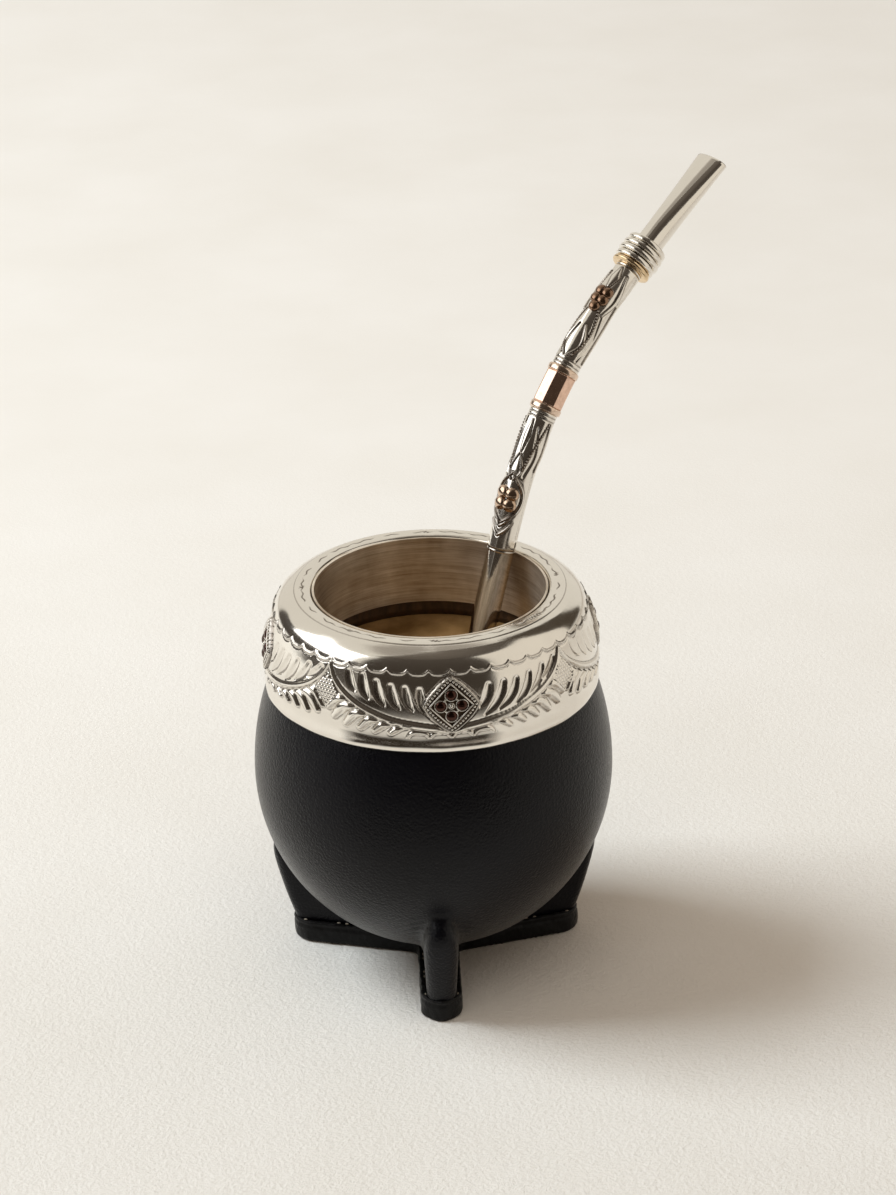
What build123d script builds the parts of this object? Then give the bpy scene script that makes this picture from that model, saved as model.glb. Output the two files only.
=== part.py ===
from build123d import *

import math
import os

# A mate cup: a gourd in a leather cover on three leather legs, with a silver ferrule round its mouth,
# the drink inside, and a bent metal straw (bombilla) leaning on the rim.
# Millimetres. Origin: centre of the sole's flat underside. +Z is up, and the front leg points to -Y.
# An azimuth is measured from -Y, positive towards +X.

# --- driving dimensions -------------------------------------------------------------------------

# sole and welt
LEG_AZIMUTHS = (0.0, -106.0, 106.0)
SOLE_THICKNESS = 4.6
SOLE_EDGE_ROUND = 0.8
ARM_REACH = 38.0
ARM_WIDTH = 10.3
ARM_CORNER_RADIUS = 2.5
WELT_WIDTH = 1.3
WELT_HEIGHT = 1.4
WELT_ROUND = 0.5

# leather body and legs
BELLY_RADIUS = 44.9
BELLY_HEIGHT = 54.0
LOWER_CURVE_RADIUS = 48.1
UPPER_CURVE_RADIUS = 68.8
LEATHER_THICKNESS = 1.6
LEATHER_TUCK = 3.0
LEG_FOOT_WIDTH = 6.2
LEG_WIDENING = 0.18
LEG_START = 6.0
LEG_FOOT_REACH = 37.0
LEG_TOP_REACH = 42.9
LEG_TOP_HEIGHT = 25.0
LEG_TOP_ROUND = 3.0
LEG_BOW = 0.8
LEG_ROOT_HEIGHT = 33.0
LEG_ROOT_INSET = 4.0

# gourd
GOURD_WALL = 7.0
FIT_GAP = 0.15

# ferrule and sleeve
RIM_HEIGHT = 102.5
FERRULE_DEPTH = 25.1
FERRULE_WALL = 0.9
BORE_RADIUS = 29.3
BORE_ROUND = 0.4
RING_WIDTH = 4.3
LIP_HEIGHT = 2.0
WAIST_INSET = 0.6
WAIST_HEIGHT = 8.6
BAND_TOP_HEIGHT = 20.7
BAND_LEAN = 2.9
BAND_BULGE = 0.5
SHOULDER_BULGE = 1.0
SLEEVE_WALL = 0.55
SLEEVE_TOP_DROP = 0.4
SLEEVE_LENGTH = 17.6

# drink
DRINK_LEVEL = 80.2

# rosettes on the ferrule
ROSETTE_COUNT = 4
ROSETTE_AZIMUTH = 5.0
ROSETTE_HEIGHT = 89.8
ROSETTE_WIDTH = 13.6
ROSETTE_CORNER = 1.2
ROSETTE_STAND = 1.0
ROSETTE_BORDER = 1.2
ROSETTE_RECESS = 0.6
ROSETTE_STONE_COUNT = 4
STONE_RADIUS = 1.4
STONE_SPREAD = 3.05
STONE_STAND = 0.35
SEAT_GAP = 0.05
BEAD_RADIUS = 0.75

# bombilla: a straight stem, one bend and a straight mouth end, all in one upright plane
STRAW_AZIMUTH = 129.7
STRAW_OFFSET = 1.6
STRAW_LEAN = 18.0
STRAW_RIM_REACH = 24.8
STRAW_FOOT_HEIGHT = 16.1
STRAW_BEND_HEIGHT = 109.3
STRAW_BEND_RADIUS = 109.0
STRAW_BEND_ANGLE = 35.2
STEM_RADIUS = 3.45
STRAW_BORE_RADIUS = 1.9
STEM_TIP_ROUND = 1.2
RIM_TOLERANCE = 0.01

# stations along the bombilla's centre line, from its foot
CHASED_START = 91.6
COPPER_START = 128.3
COLLAR_START = 170.2
STRAW_LENGTH = 206.4

CHASED_RADIUS = 3.6
CHASED_EDGE_ROUND = 0.3
COPPER_RADIUS = 3.95
COPPER_LENGTH = 8.4
COPPER_SIDES = 8
COPPER_BAND_LENGTH = 1.7
COPPER_BAND_RADIUS = 4.0
COPPER_BAND_ROUND = 0.4
COLLAR_RING_LENGTH = 1.75
COLLAR_RING_RADII = (5.35, 5.65, 5.55, 5.2)
COLLAR_RING_ROUND = 0.6
GOLD_RING_LENGTH = 1.4
GOLD_RING_RADIUS = 5.3
GOLD_RING_ROUND = 0.4

MOUTH_NECK_LENGTH = 12.0
MOUTH_WIDTH = 9.6
MOUTH_THICKNESS = 4.8
MOUTH_WALL = 0.7

CLUSTER_TURN = 105.0
LOWER_CLUSTER_STATION = 105.2
LOWER_CLUSTER_ROWS = (2, 2)
LOWER_STONE_RADIUS = 1.45
LOWER_STONE_SPACING = 3.2
UPPER_CLUSTER_STATION = 159.5
UPPER_CLUSTER_ROWS = (3, 2)
UPPER_STONE_RADIUS = 1.2
UPPER_STONE_SPACING = 2.6
CLUSTER_STAND = 0.45

# --- places worked out from the driving dimensions ----------------------------------------------

HALF_SECTION = Plane.XZ
UP = Vector(0, 0, 1)
FERRULE_BOTTOM = RIM_HEIGHT - FERRULE_DEPTH
LEATHER_TOP = FERRULE_BOTTOM + LEATHER_TUCK
SLEEVE_OUTER = BORE_RADIUS - FIT_GAP
SLEEVE_TOP = RIM_HEIGHT - SLEEVE_TOP_DROP
GOURD_INSET = LEATHER_THICKNESS + FIT_GAP
CAVITY_INSET = GOURD_INSET + GOURD_WALL


def curve_radius(height):
    """Radius of the arc that draws the body at a height: one below the belly, one above it."""
    return UPPER_CURVE_RADIUS if height > BELLY_HEIGHT else LOWER_CURVE_RADIUS


def body_radius(height, inset=0.0):
    """Radius of the gourd-shaped body at a height, drawn in by an inset."""
    curve = curve_radius(height)
    return BELLY_RADIUS - curve + math.sqrt((curve - inset) ** 2 - (height - BELLY_HEIGHT) ** 2)


def body_bottom(inset=0.0):
    """Height where the lower arc, drawn in by an inset, meets the axis."""
    centre = BELLY_RADIUS - LOWER_CURVE_RADIUS
    return BELLY_HEIGHT - math.sqrt((LOWER_CURVE_RADIUS - inset) ** 2 - centre**2)


def body_height(radius, inset=0.0):
    """Height above the belly where the body, drawn in by an inset, narrows to a radius."""
    reach = radius - BELLY_RADIUS + UPPER_CURVE_RADIUS
    return BELLY_HEIGHT + math.sqrt((UPPER_CURVE_RADIUS - inset) ** 2 - reach**2)


CAVITY_SHOULDER = body_height(BORE_RADIUS, CAVITY_INSET)


def outward(azimuth):
    """Unit direction that points away from the axis at an azimuth."""
    turn = math.radians(azimuth)
    return Vector(math.sin(turn), -math.cos(turn), 0)


def facing_plane(azimuth, height=0.0):
    """Upright plane through the axis that faces outwards at an azimuth, with y up."""
    return Plane(origin=(0, 0, height), x_dir=UP.cross(outward(azimuth)), z_dir=outward(azimuth))


def body_solid(top, inset=0.0):
    """The body filled to its axis, from its bottom to a height, drawn in by an inset."""
    bottom = body_bottom(inset)
    belly = (BELLY_RADIUS - inset, BELLY_HEIGHT)
    lower = (bottom + BELLY_HEIGHT) / 2
    upper = (BELLY_HEIGHT + top) / 2
    with BuildPart(mode=Mode.PRIVATE) as solid:
        with BuildSketch(HALF_SECTION):
            with BuildLine():
                ThreePointArc((0, bottom), (body_radius(lower, inset), lower), belly)
                ThreePointArc(belly, (body_radius(upper, inset), upper), (body_radius(top, inset), top))
                Polyline((body_radius(top, inset), top), (0, top), (0, bottom))
            make_face()
        revolve(axis=Axis.Z)
    return solid.part


# --- the ferrule's outline, shared by the ferrule, the gourd's neck and the rosettes ------------

LIP_RADIUS = body_radius(FERRULE_BOTTOM) + FIT_GAP + FERRULE_WALL
WAIST = (LIP_RADIUS - WAIST_INSET, FERRULE_BOTTOM + WAIST_HEIGHT)
BAND_TOP = (WAIST[0] - BAND_LEAN, FERRULE_BOTTOM + BAND_TOP_HEIGHT)
RING_EDGE = (BORE_RADIUS + RING_WIDTH, RIM_HEIGHT)


def band_radius(height):
    """Radius of the ferrule's bowed band at a height between its waist and its top."""
    share = (height - WAIST[1]) / (BAND_TOP[1] - WAIST[1])
    return WAIST[0] + (BAND_TOP[0] - WAIST[0]) * share + 4 * BAND_BULGE * share * (1 - share)


def ferrule_solid(inset=0.0):
    """The ferrule filled to its axis, drawn in by an inset."""
    waist = (WAIST[0] - inset, WAIST[1])
    band_top = (BAND_TOP[0] - inset, BAND_TOP[1])
    ring_edge = (RING_EDGE[0] - inset, RING_EDGE[1] - inset)
    band_middle = ((waist[0] + band_top[0]) / 2 + BAND_BULGE, (waist[1] + band_top[1]) / 2)
    shoulder_middle = (
        (band_top[0] + ring_edge[0]) / 2 + SHOULDER_BULGE,
        (band_top[1] + ring_edge[1]) / 2 + SHOULDER_BULGE,
    )
    with BuildPart(mode=Mode.PRIVATE) as solid:
        with BuildSketch(HALF_SECTION):
            with BuildLine():
                Polyline(
                    (0, ring_edge[1]),
                    (0, FERRULE_BOTTOM),
                    (LIP_RADIUS - inset, FERRULE_BOTTOM),
                    (LIP_RADIUS - inset, FERRULE_BOTTOM + LIP_HEIGHT),
                    waist,
                )
                ThreePointArc(waist, band_middle, band_top)
                ThreePointArc(band_top, shoulder_middle, ring_edge)
                Line(ring_edge, (0, ring_edge[1]))
            make_face()
        revolve(axis=Axis.Z)
    return solid.part


# --- the bombilla's centre line -----------------------------------------------------------------

STRAW_REACH = outward(STRAW_AZIMUTH)
STRAW_SIDE = outward(STRAW_AZIMUTH + 90)
STRAW_PLANE = Plane(origin=STRAW_SIDE * STRAW_OFFSET, x_dir=STRAW_REACH, z_dir=STRAW_REACH.cross(UP))
LEAN = math.radians(STRAW_LEAN)
BEND = math.radians(STRAW_BEND_ANGLE)
STEM_DIRECTION = (math.sin(LEAN), math.cos(LEAN))
BEND_START = (STRAW_BEND_HEIGHT - STRAW_FOOT_HEIGHT) / math.cos(LEAN)
BEND_END = BEND_START + STRAW_BEND_RADIUS * BEND
FOOT = (STRAW_RIM_REACH - (RIM_HEIGHT - STRAW_FOOT_HEIGHT) * math.tan(LEAN), STRAW_FOOT_HEIGHT)


def straw_point(station):
    """Point of the centre line in the straw's plane, and its lean from upright in radians."""
    straight = min(station, BEND_START)
    reach = FOOT[0] + STEM_DIRECTION[0] * straight
    height = FOOT[1] + STEM_DIRECTION[1] * straight
    lean = LEAN + min(max(station - BEND_START, 0.0) / STRAW_BEND_RADIUS, BEND)
    reach += STRAW_BEND_RADIUS * (math.cos(LEAN) - math.cos(lean))
    height += STRAW_BEND_RADIUS * (math.sin(lean) - math.sin(LEAN))
    past = max(station - BEND_END, 0.0)
    return (reach + past * math.sin(lean), height + past * math.cos(lean)), lean


def straw_cross_plane(station):
    """Plane across the straw at a station: x runs sideways, y to the outside of the bend."""
    place, lean = straw_point(station)
    ahead = STRAW_REACH * math.sin(lean) + UP * math.cos(lean)
    return Plane(origin=STRAW_PLANE.from_local_coords((place[0], place[1], 0)), x_dir=STRAW_SIDE, z_dir=ahead)


def draw_route(start, end):
    """Centre line between two stations, inside a BuildLine on the straw's plane."""
    stops = [start] + [stop for stop in (BEND_START, BEND_END) if start < stop < end] + [end]
    for first, last in zip(stops, stops[1:]):
        middle = (first + last) / 2
        points = [straw_point(station)[0] for station in (first, middle, last)]
        if BEND_START <= middle <= BEND_END:
            ThreePointArc(*points)
        else:
            Line(points[0], points[2])


def straw_tube(start, end, radius, sides=0):
    """A length of round or many-sided tube along the straw's centre line."""
    with BuildPart(mode=Mode.PRIVATE) as tube:
        with BuildLine(STRAW_PLANE):
            draw_route(start, end)
        with BuildSketch(straw_cross_plane(start)):
            if sides:
                RegularPolygon(radius, sides)
            else:
                Circle(radius)
            Circle(STRAW_BORE_RADIUS, mode=Mode.SUBTRACT)
        sweep()
    return tube.part


def outer_rims(tube, radius):
    """The round outer edges at a tube's two ends."""
    rounds = tube.edges().filter_by(GeomType.CIRCLE)
    return [edge for edge in rounds if abs(edge.radius - radius) < RIM_TOLERANCE]


# --- sole, welt, leather cover ------------------------------------------------------------------


def draw_sole_outline():
    """Three arms that meet at the axis, with rounded inner corners, inside a BuildSketch."""
    spine = ARM_REACH - ARM_WIDTH / 2
    for azimuth in LEG_AZIMUTHS:
        middle = outward(azimuth) * (spine / 2)
        with Locations((middle.X, middle.Y)):
            SlotCenterToCenter(spine, ARM_WIDTH, rotation=azimuth - 90)


def inner_corners(sketch):
    """The outline's corners between its arms."""
    return sketch.vertices().sort_by(lambda corner: corner.center().length)[: len(LEG_AZIMUTHS)]


with BuildPart() as sole:
    with BuildSketch() as sole_outline:
        draw_sole_outline()
        fillet(inner_corners(sole_outline), ARM_CORNER_RADIUS)
    extrude(amount=SOLE_THICKNESS)
    fillet(sole.faces().sort_by(Axis.Z)[0].edges(), SOLE_EDGE_ROUND)

with BuildPart() as welt:
    with BuildSketch(Plane.XY.offset(SOLE_THICKNESS)):
        add(sole_outline.sketch)
        offset(amount=-WELT_WIDTH, mode=Mode.SUBTRACT)
    extrude(amount=WELT_HEIGHT)
    fillet(welt.faces().sort_by(Axis.Z)[-1].edges(), WELT_ROUND)

with BuildPart(mode=Mode.PRIVATE) as leg_outline:
    with BuildSketch(HALF_SECTION) as leg_section:
        with BuildLine():
            foot = (LEG_FOOT_REACH, SOLE_THICKNESS)
            top = (LEG_TOP_REACH, LEG_TOP_HEIGHT)
            root = (body_radius(LEG_ROOT_HEIGHT) - LEG_ROOT_INSET, LEG_ROOT_HEIGHT)
            bow = ((foot[0] + top[0]) / 2 + LEG_BOW, (foot[1] + top[1]) / 2)
            ThreePointArc(foot, bow, top)
            Polyline(top, root, (0, root[1]), (0, foot[1]), foot)
        make_face()
        fillet(leg_section.vertices().sort_by(Axis.X)[-1], LEG_TOP_ROUND)
    revolve(axis=Axis.Z)

with BuildPart(mode=Mode.PRIVATE) as leg:
    with BuildSketch(facing_plane(LEG_AZIMUTHS[0], SOLE_THICKNESS).offset(LEG_START)):
        half_foot = LEG_FOOT_WIDTH / 2
        leg_height = LEG_ROOT_HEIGHT - SOLE_THICKNESS
        half_root = half_foot + LEG_WIDENING * leg_height / 2
        Polygon(
            (-half_foot, 0),
            (half_foot, 0),
            (half_root, leg_height),
            (-half_root, leg_height),
            align=None,
        )
    extrude(amount=LEG_TOP_REACH - LEG_START)
    add(leg_outline.part, mode=Mode.INTERSECT)
    add(body_solid(LEATHER_TOP), mode=Mode.SUBTRACT)
    add(welt.part, mode=Mode.SUBTRACT)

with BuildPart() as leather_cover:
    add(body_solid(LEATHER_TOP))
    add(body_solid(LEATHER_TOP, LEATHER_THICKNESS), mode=Mode.SUBTRACT)

# --- gourd, ferrule, sleeve ---------------------------------------------------------------------

with BuildPart(mode=Mode.PRIVATE) as neck:
    add(ferrule_solid(FERRULE_WALL + FIT_GAP))
    split(bisect_by=Plane.XY.offset(LEATHER_TOP + FIT_GAP))

with BuildPart() as gourd_shell:
    add(body_solid(LEATHER_TOP + FIT_GAP, GOURD_INSET))
    add(neck.part)
    with BuildSketch(Plane.XY.offset(BELLY_HEIGHT)):
        Circle(BORE_RADIUS)
    extrude(amount=RIM_HEIGHT - BELLY_HEIGHT, mode=Mode.SUBTRACT)
    add(body_solid(CAVITY_SHOULDER, CAVITY_INSET), mode=Mode.SUBTRACT)

with BuildPart() as ferrule:
    add(ferrule_solid())
    add(ferrule_solid(FERRULE_WALL), mode=Mode.SUBTRACT)
    with BuildSketch(Plane.XY.offset(FERRULE_BOTTOM)):
        Circle(BORE_RADIUS)
    extrude(amount=FERRULE_DEPTH, mode=Mode.SUBTRACT)
    bore_edge = ferrule.edges().filter_by(GeomType.CIRCLE).group_by(Axis.Z)[-1].sort_by(SortBy.RADIUS)[0]
    fillet(bore_edge, BORE_ROUND)

with BuildPart() as sleeve:
    with BuildSketch(Plane.XY.offset(SLEEVE_TOP - SLEEVE_LENGTH)):
        Circle(SLEEVE_OUTER)
        Circle(SLEEVE_OUTER - SLEEVE_WALL, mode=Mode.SUBTRACT)
    extrude(amount=SLEEVE_LENGTH)

# --- drink --------------------------------------------------------------------------------------

with BuildPart() as drink:
    add(body_solid(DRINK_LEVEL, CAVITY_INSET + FIT_GAP))
    with BuildSketch(straw_cross_plane(-FIT_GAP)):
        Circle(STEM_RADIUS + FIT_GAP)
    extrude(amount=BEND_START, mode=Mode.SUBTRACT)

# --- rosettes: a bordered diamond plaque, four stones and a bead -------------------------------

PLAQUE_FLOOR = ROSETTE_STAND - ROSETTE_RECESS
SLOPE_STEP = 0.5


def diamond_prism(width, corner):
    """Upright diamond bar that runs out from the axis towards -Y at the rosettes' height."""
    side = width / math.sqrt(2)
    with BuildPart(mode=Mode.PRIVATE) as prism:
        with BuildSketch(facing_plane(0, ROSETTE_HEIGHT)):
            RectangleRounded(side, side, corner, rotation=45)
        extrude(amount=LIP_RADIUS + 2 * ROSETTE_STAND)
    return prism.part


def seated_ball(radius, across, up, stand):
    """A ball whose centre stands off the plaque's floor, cut flat just clear of the floor."""
    height = ROSETTE_HEIGHT + up
    floor_radius = band_radius(height) + PLAQUE_FLOOR + SEAT_GAP
    slope = band_radius(height + SLOPE_STEP) - band_radius(height - SLOPE_STEP)
    facing = outward(math.degrees(math.asin(across / floor_radius)))
    seat = Plane(origin=facing * floor_radius + UP * height, z_dir=facing * 2 * SLOPE_STEP - UP * slope)
    with BuildPart(seat, mode=Mode.PRIVATE) as ball:
        with Locations((0, 0, stand)):
            Sphere(radius)
        split(bisect_by=seat)
    return ball.part


with BuildPart(mode=Mode.PRIVATE) as plaque_recess:
    add(diamond_prism(ROSETTE_WIDTH - 2 * ROSETTE_BORDER, ROSETTE_CORNER / 2))
    add(ferrule_solid(-PLAQUE_FLOOR), mode=Mode.SUBTRACT)

with BuildPart(mode=Mode.PRIVATE) as plaque:
    add(diamond_prism(ROSETTE_WIDTH, ROSETTE_CORNER))
    add(ferrule_solid(-ROSETTE_STAND), mode=Mode.INTERSECT)
    add(ferrule_solid(), mode=Mode.SUBTRACT)
    add(plaque_recess.part, mode=Mode.SUBTRACT)

rosette_pieces = {"plaque": plaque.part, "bead": seated_ball(BEAD_RADIUS, 0, 0, STONE_STAND)}
for number in range(ROSETTE_STONE_COUNT):
    turn = 2 * math.pi * number / ROSETTE_STONE_COUNT
    across = STONE_SPREAD * math.cos(turn)
    up = STONE_SPREAD * math.sin(turn)
    rosette_pieces[f"stone_{number + 1}"] = seated_ball(STONE_RADIUS, across, up, STONE_STAND)

# --- bombilla -----------------------------------------------------------------------------------

COPPER_MIDDLE = COPPER_START + COPPER_BAND_LENGTH
COPPER_MIDDLE_END = COPPER_MIDDLE + COPPER_LENGTH
CHASED_UPPER_START = COPPER_MIDDLE_END + COPPER_BAND_LENGTH

with BuildPart() as straw_stem:
    with BuildSketch(straw_cross_plane(0)):
        Circle(STEM_RADIUS)
    extrude(amount=CHASED_START)
    fillet(straw_stem.faces().sort_by(Axis.Z)[0].edges(), STEM_TIP_ROUND)
    with BuildSketch(straw_cross_plane(STRAW_BORE_RADIUS)):
        Circle(STRAW_BORE_RADIUS)
    extrude(amount=CHASED_START, mode=Mode.SUBTRACT)

with BuildPart() as chased_lower:
    add(straw_tube(CHASED_START, COPPER_START, CHASED_RADIUS))
    fillet(outer_rims(chased_lower, CHASED_RADIUS), CHASED_EDGE_ROUND)

with BuildPart() as copper_band_lower:
    add(straw_tube(COPPER_START, COPPER_MIDDLE, COPPER_BAND_RADIUS))
    fillet(outer_rims(copper_band_lower, COPPER_BAND_RADIUS), COPPER_BAND_ROUND)

with BuildPart() as copper_sleeve:
    add(straw_tube(COPPER_MIDDLE, COPPER_MIDDLE_END, COPPER_RADIUS, COPPER_SIDES))

with BuildPart() as copper_band_upper:
    add(straw_tube(COPPER_MIDDLE_END, CHASED_UPPER_START, COPPER_BAND_RADIUS))
    fillet(outer_rims(copper_band_upper, COPPER_BAND_RADIUS), COPPER_BAND_ROUND)

with BuildPart() as chased_upper:
    add(straw_tube(CHASED_UPPER_START, COLLAR_START, CHASED_RADIUS))
    fillet(outer_rims(chased_upper, CHASED_RADIUS), CHASED_EDGE_ROUND)


def collar_ring(start, length, radius, rounding):
    """One ring of the collar, threaded on the mouthpiece's neck."""
    with BuildPart(mode=Mode.PRIVATE) as ring:
        with BuildSketch(straw_cross_plane(start)):
            Circle(radius)
            Circle(STEM_RADIUS + FIT_GAP, mode=Mode.SUBTRACT)
        extrude(amount=length)
        fillet(outer_rims(ring, radius), rounding)
    return ring.part


collar = {"straw_gold_ring": collar_ring(COLLAR_START, GOLD_RING_LENGTH, GOLD_RING_RADIUS, GOLD_RING_ROUND)}
for number, ring_radius in enumerate(COLLAR_RING_RADII):
    ring_start = COLLAR_START + GOLD_RING_LENGTH + number * COLLAR_RING_LENGTH
    ring = collar_ring(ring_start, COLLAR_RING_LENGTH, ring_radius, COLLAR_RING_ROUND)
    collar[f"straw_collar_ring_{number + 1}"] = ring


def mouth_loft(half_width, half_thickness, neck_radius):
    """Round neck that flattens towards the tip, as a filled solid."""
    neck_end = COLLAR_START + MOUTH_NECK_LENGTH
    middle = (neck_end + STRAW_LENGTH) / 2
    with BuildPart(mode=Mode.PRIVATE) as mouth:
        with BuildSketch(straw_cross_plane(neck_end)):
            Circle(neck_radius)
        with BuildSketch(straw_cross_plane(middle)):
            Ellipse((half_width + neck_radius) / 2, (half_thickness + neck_radius) / 2)
        with BuildSketch(straw_cross_plane(STRAW_LENGTH)):
            Ellipse(half_width, half_thickness)
        loft()
        with BuildSketch(straw_cross_plane(COLLAR_START)):
            Circle(neck_radius)
        extrude(amount=MOUTH_NECK_LENGTH)
    return mouth.part


with BuildPart() as mouthpiece:
    add(mouth_loft(MOUTH_WIDTH / 2, MOUTH_THICKNESS / 2, STEM_RADIUS))
    tip_opening = (MOUTH_WIDTH / 2 - MOUTH_WALL, MOUTH_THICKNESS / 2 - MOUTH_WALL)
    add(mouth_loft(*tip_opening, STRAW_BORE_RADIUS), mode=Mode.SUBTRACT)


def cluster_stones(station, rows, radius, spacing, tube):
    """Balls in columns side by side on a chased tube, cut where they meet it."""
    reach = CHASED_RADIUS + CLUSTER_STAND
    column_turn = 2 * math.degrees(math.asin(spacing / 2 / reach))
    balls = []
    for column, count in enumerate(rows):
        turn = math.radians(CLUSTER_TURN + column_turn * ((len(rows) - 1) / 2 - column))
        for row in range(count):
            plane = straw_cross_plane(station + spacing * (row - (count - 1) / 2))
            centre = plane.from_local_coords((reach * math.cos(turn), reach * math.sin(turn), 0))
            with BuildPart(mode=Mode.PRIVATE) as ball:
                with Locations(centre):
                    Sphere(radius)
                add(tube, mode=Mode.SUBTRACT)
            balls.append(ball.part)
    return balls


clusters = {
    "straw_lower_stone": cluster_stones(
        LOWER_CLUSTER_STATION,
        LOWER_CLUSTER_ROWS,
        LOWER_STONE_RADIUS,
        LOWER_STONE_SPACING,
        chased_lower.part,
    ),
    "straw_upper_stone": cluster_stones(
        UPPER_CLUSTER_STATION,
        UPPER_CLUSTER_ROWS,
        UPPER_STONE_RADIUS,
        UPPER_STONE_SPACING,
        chased_upper.part,
    ),
}

# --- finished pieces ----------------------------------------------------------------------------

finished = {
    "sole": sole.part,
    "welt": welt.part,
    "leather_cover": leather_cover.part,
    "gourd_shell": gourd_shell.part,
    "ferrule": ferrule.part,
    "inner_sleeve": sleeve.part,
    "drink": drink.part,
    "straw_stem": straw_stem.part,
    "straw_chased_lower": chased_lower.part,
    "straw_copper_band_lower": copper_band_lower.part,
    "straw_copper_sleeve": copper_sleeve.part,
    "straw_copper_band_upper": copper_band_upper.part,
    "straw_chased_upper": chased_upper.part,
    "straw_mouthpiece": mouthpiece.part,
}
for number, azimuth in enumerate(LEG_AZIMUTHS):
    finished[f"leg_{number + 1}"] = leg.part.rotate(Axis.Z, azimuth)
finished.update(collar)
for number in range(ROSETTE_COUNT):
    azimuth = ROSETTE_AZIMUTH + 360 * number / ROSETTE_COUNT
    for name, piece in rosette_pieces.items():
        finished[f"rosette_{number + 1}_{name}"] = piece.rotate(Axis.Z, azimuth)
for name, balls in clusters.items():
    for number, ball in enumerate(balls):
        finished[f"{name}_{number + 1}"] = ball

os.makedirs("parts", exist_ok=True)
for label, piece in finished.items():
    piece.label = label
    export_step(piece, f"parts/{label}.step")
    print(f"{label}: {piece.volume:.1f} mm3")
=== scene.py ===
import math

import bmesh
import bpy
import numpy as np
from mathutils import Matrix, Vector, noise


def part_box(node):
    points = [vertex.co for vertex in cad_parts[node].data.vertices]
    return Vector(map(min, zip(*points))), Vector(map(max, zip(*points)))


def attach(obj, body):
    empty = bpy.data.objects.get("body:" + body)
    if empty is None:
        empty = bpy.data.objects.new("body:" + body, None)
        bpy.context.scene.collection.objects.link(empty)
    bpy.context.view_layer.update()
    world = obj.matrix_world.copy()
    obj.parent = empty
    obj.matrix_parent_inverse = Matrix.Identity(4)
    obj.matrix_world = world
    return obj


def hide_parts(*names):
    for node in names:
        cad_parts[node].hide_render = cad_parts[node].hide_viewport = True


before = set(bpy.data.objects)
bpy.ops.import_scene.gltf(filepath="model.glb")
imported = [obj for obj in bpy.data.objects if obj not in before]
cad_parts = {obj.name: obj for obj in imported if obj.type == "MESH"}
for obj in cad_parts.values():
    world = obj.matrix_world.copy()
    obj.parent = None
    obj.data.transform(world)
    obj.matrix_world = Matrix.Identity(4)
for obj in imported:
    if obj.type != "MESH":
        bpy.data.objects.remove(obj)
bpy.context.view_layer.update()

# A mate cup with its bombilla. Sizes are in millimetres until a piece is finished in metres.
# An azimuth is measured from -Y, the front, positive towards +X.
MM = 0.001


def top_of(node):
    """Height of a node's highest corner, in millimetres."""
    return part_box(node)[1].z / MM


def bottom_of(node):
    """Height of a node's lowest corner, in millimetres."""
    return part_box(node)[0].z / MM


RIM_HEIGHT = top_of("ferrule")
FERRULE_BOTTOM = bottom_of("ferrule")
SOLE_TOP = top_of("sole")
BELLY_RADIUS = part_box("leather_cover")[1].x / MM

# --- camera --------------------------------------------------------------------------------------

CAMERA_DISTANCE = 900.0
CAMERA_HEIGHT = 525.1
CAMERA_AZIMUTH = -1.34
CAMERA_PITCH = 25.34
CAMERA_YAW = 0.28
CAMERA_ROLL = -1.09
CAMERA_LENS = 162.38
SENSOR_WIDTH = 36.0


def stand_camera():
    """The camera looks down on the cup from the front, with a long lens."""
    turn = math.radians(CAMERA_AZIMUTH)
    place = Vector((math.sin(turn), -math.cos(turn), 0)) * CAMERA_DISTANCE
    place.z = CAMERA_HEIGHT
    heading = Matrix.Rotation(turn - math.radians(CAMERA_YAW), 4, "Z")
    pitch = Matrix.Rotation(math.radians(90 - CAMERA_PITCH), 4, "X")
    roll = Matrix.Rotation(math.radians(CAMERA_ROLL), 4, "Z")
    lens = bpy.data.cameras.new("studio_camera")
    lens.sensor_fit = "HORIZONTAL"
    lens.sensor_width = SENSOR_WIDTH
    lens.lens = CAMERA_LENS
    lens.clip_start = 0.01
    lens.clip_end = 50
    camera = bpy.data.objects.new("studio_camera", lens)
    camera.matrix_world = Matrix.Translation(place * MM) @ heading @ pitch @ roll
    bpy.context.scene.collection.objects.link(camera)
    bpy.context.scene.camera = camera


# --- making pieces -------------------------------------------------------------------------------


def as_mesh(name, shape):
    """A mesh from a bmesh, which is let go."""
    mesh = bpy.data.meshes.new(name)
    shape.to_mesh(mesh)
    shape.free()
    return mesh


def new_object(name, mesh):
    piece = bpy.data.objects.new(name, mesh)
    bpy.context.scene.collection.objects.link(piece)
    return piece


def finish_piece(name, shape, material, replaced=()):
    """Turns a bmesh or mesh in millimetres into a piece in metres that rides with the cup."""
    mesh = as_mesh(name, shape) if isinstance(shape, bmesh.types.BMesh) else shape
    mesh.name = name
    mesh.transform(Matrix.Scale(MM, 4))
    mesh.materials.clear()
    mesh.materials.append(material)
    mesh.polygons.foreach_set("use_smooth", [True] * len(mesh.polygons))
    piece = new_object(name, mesh)
    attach(piece, "root")
    if replaced:
        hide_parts(*replaced)
    return piece


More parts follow.
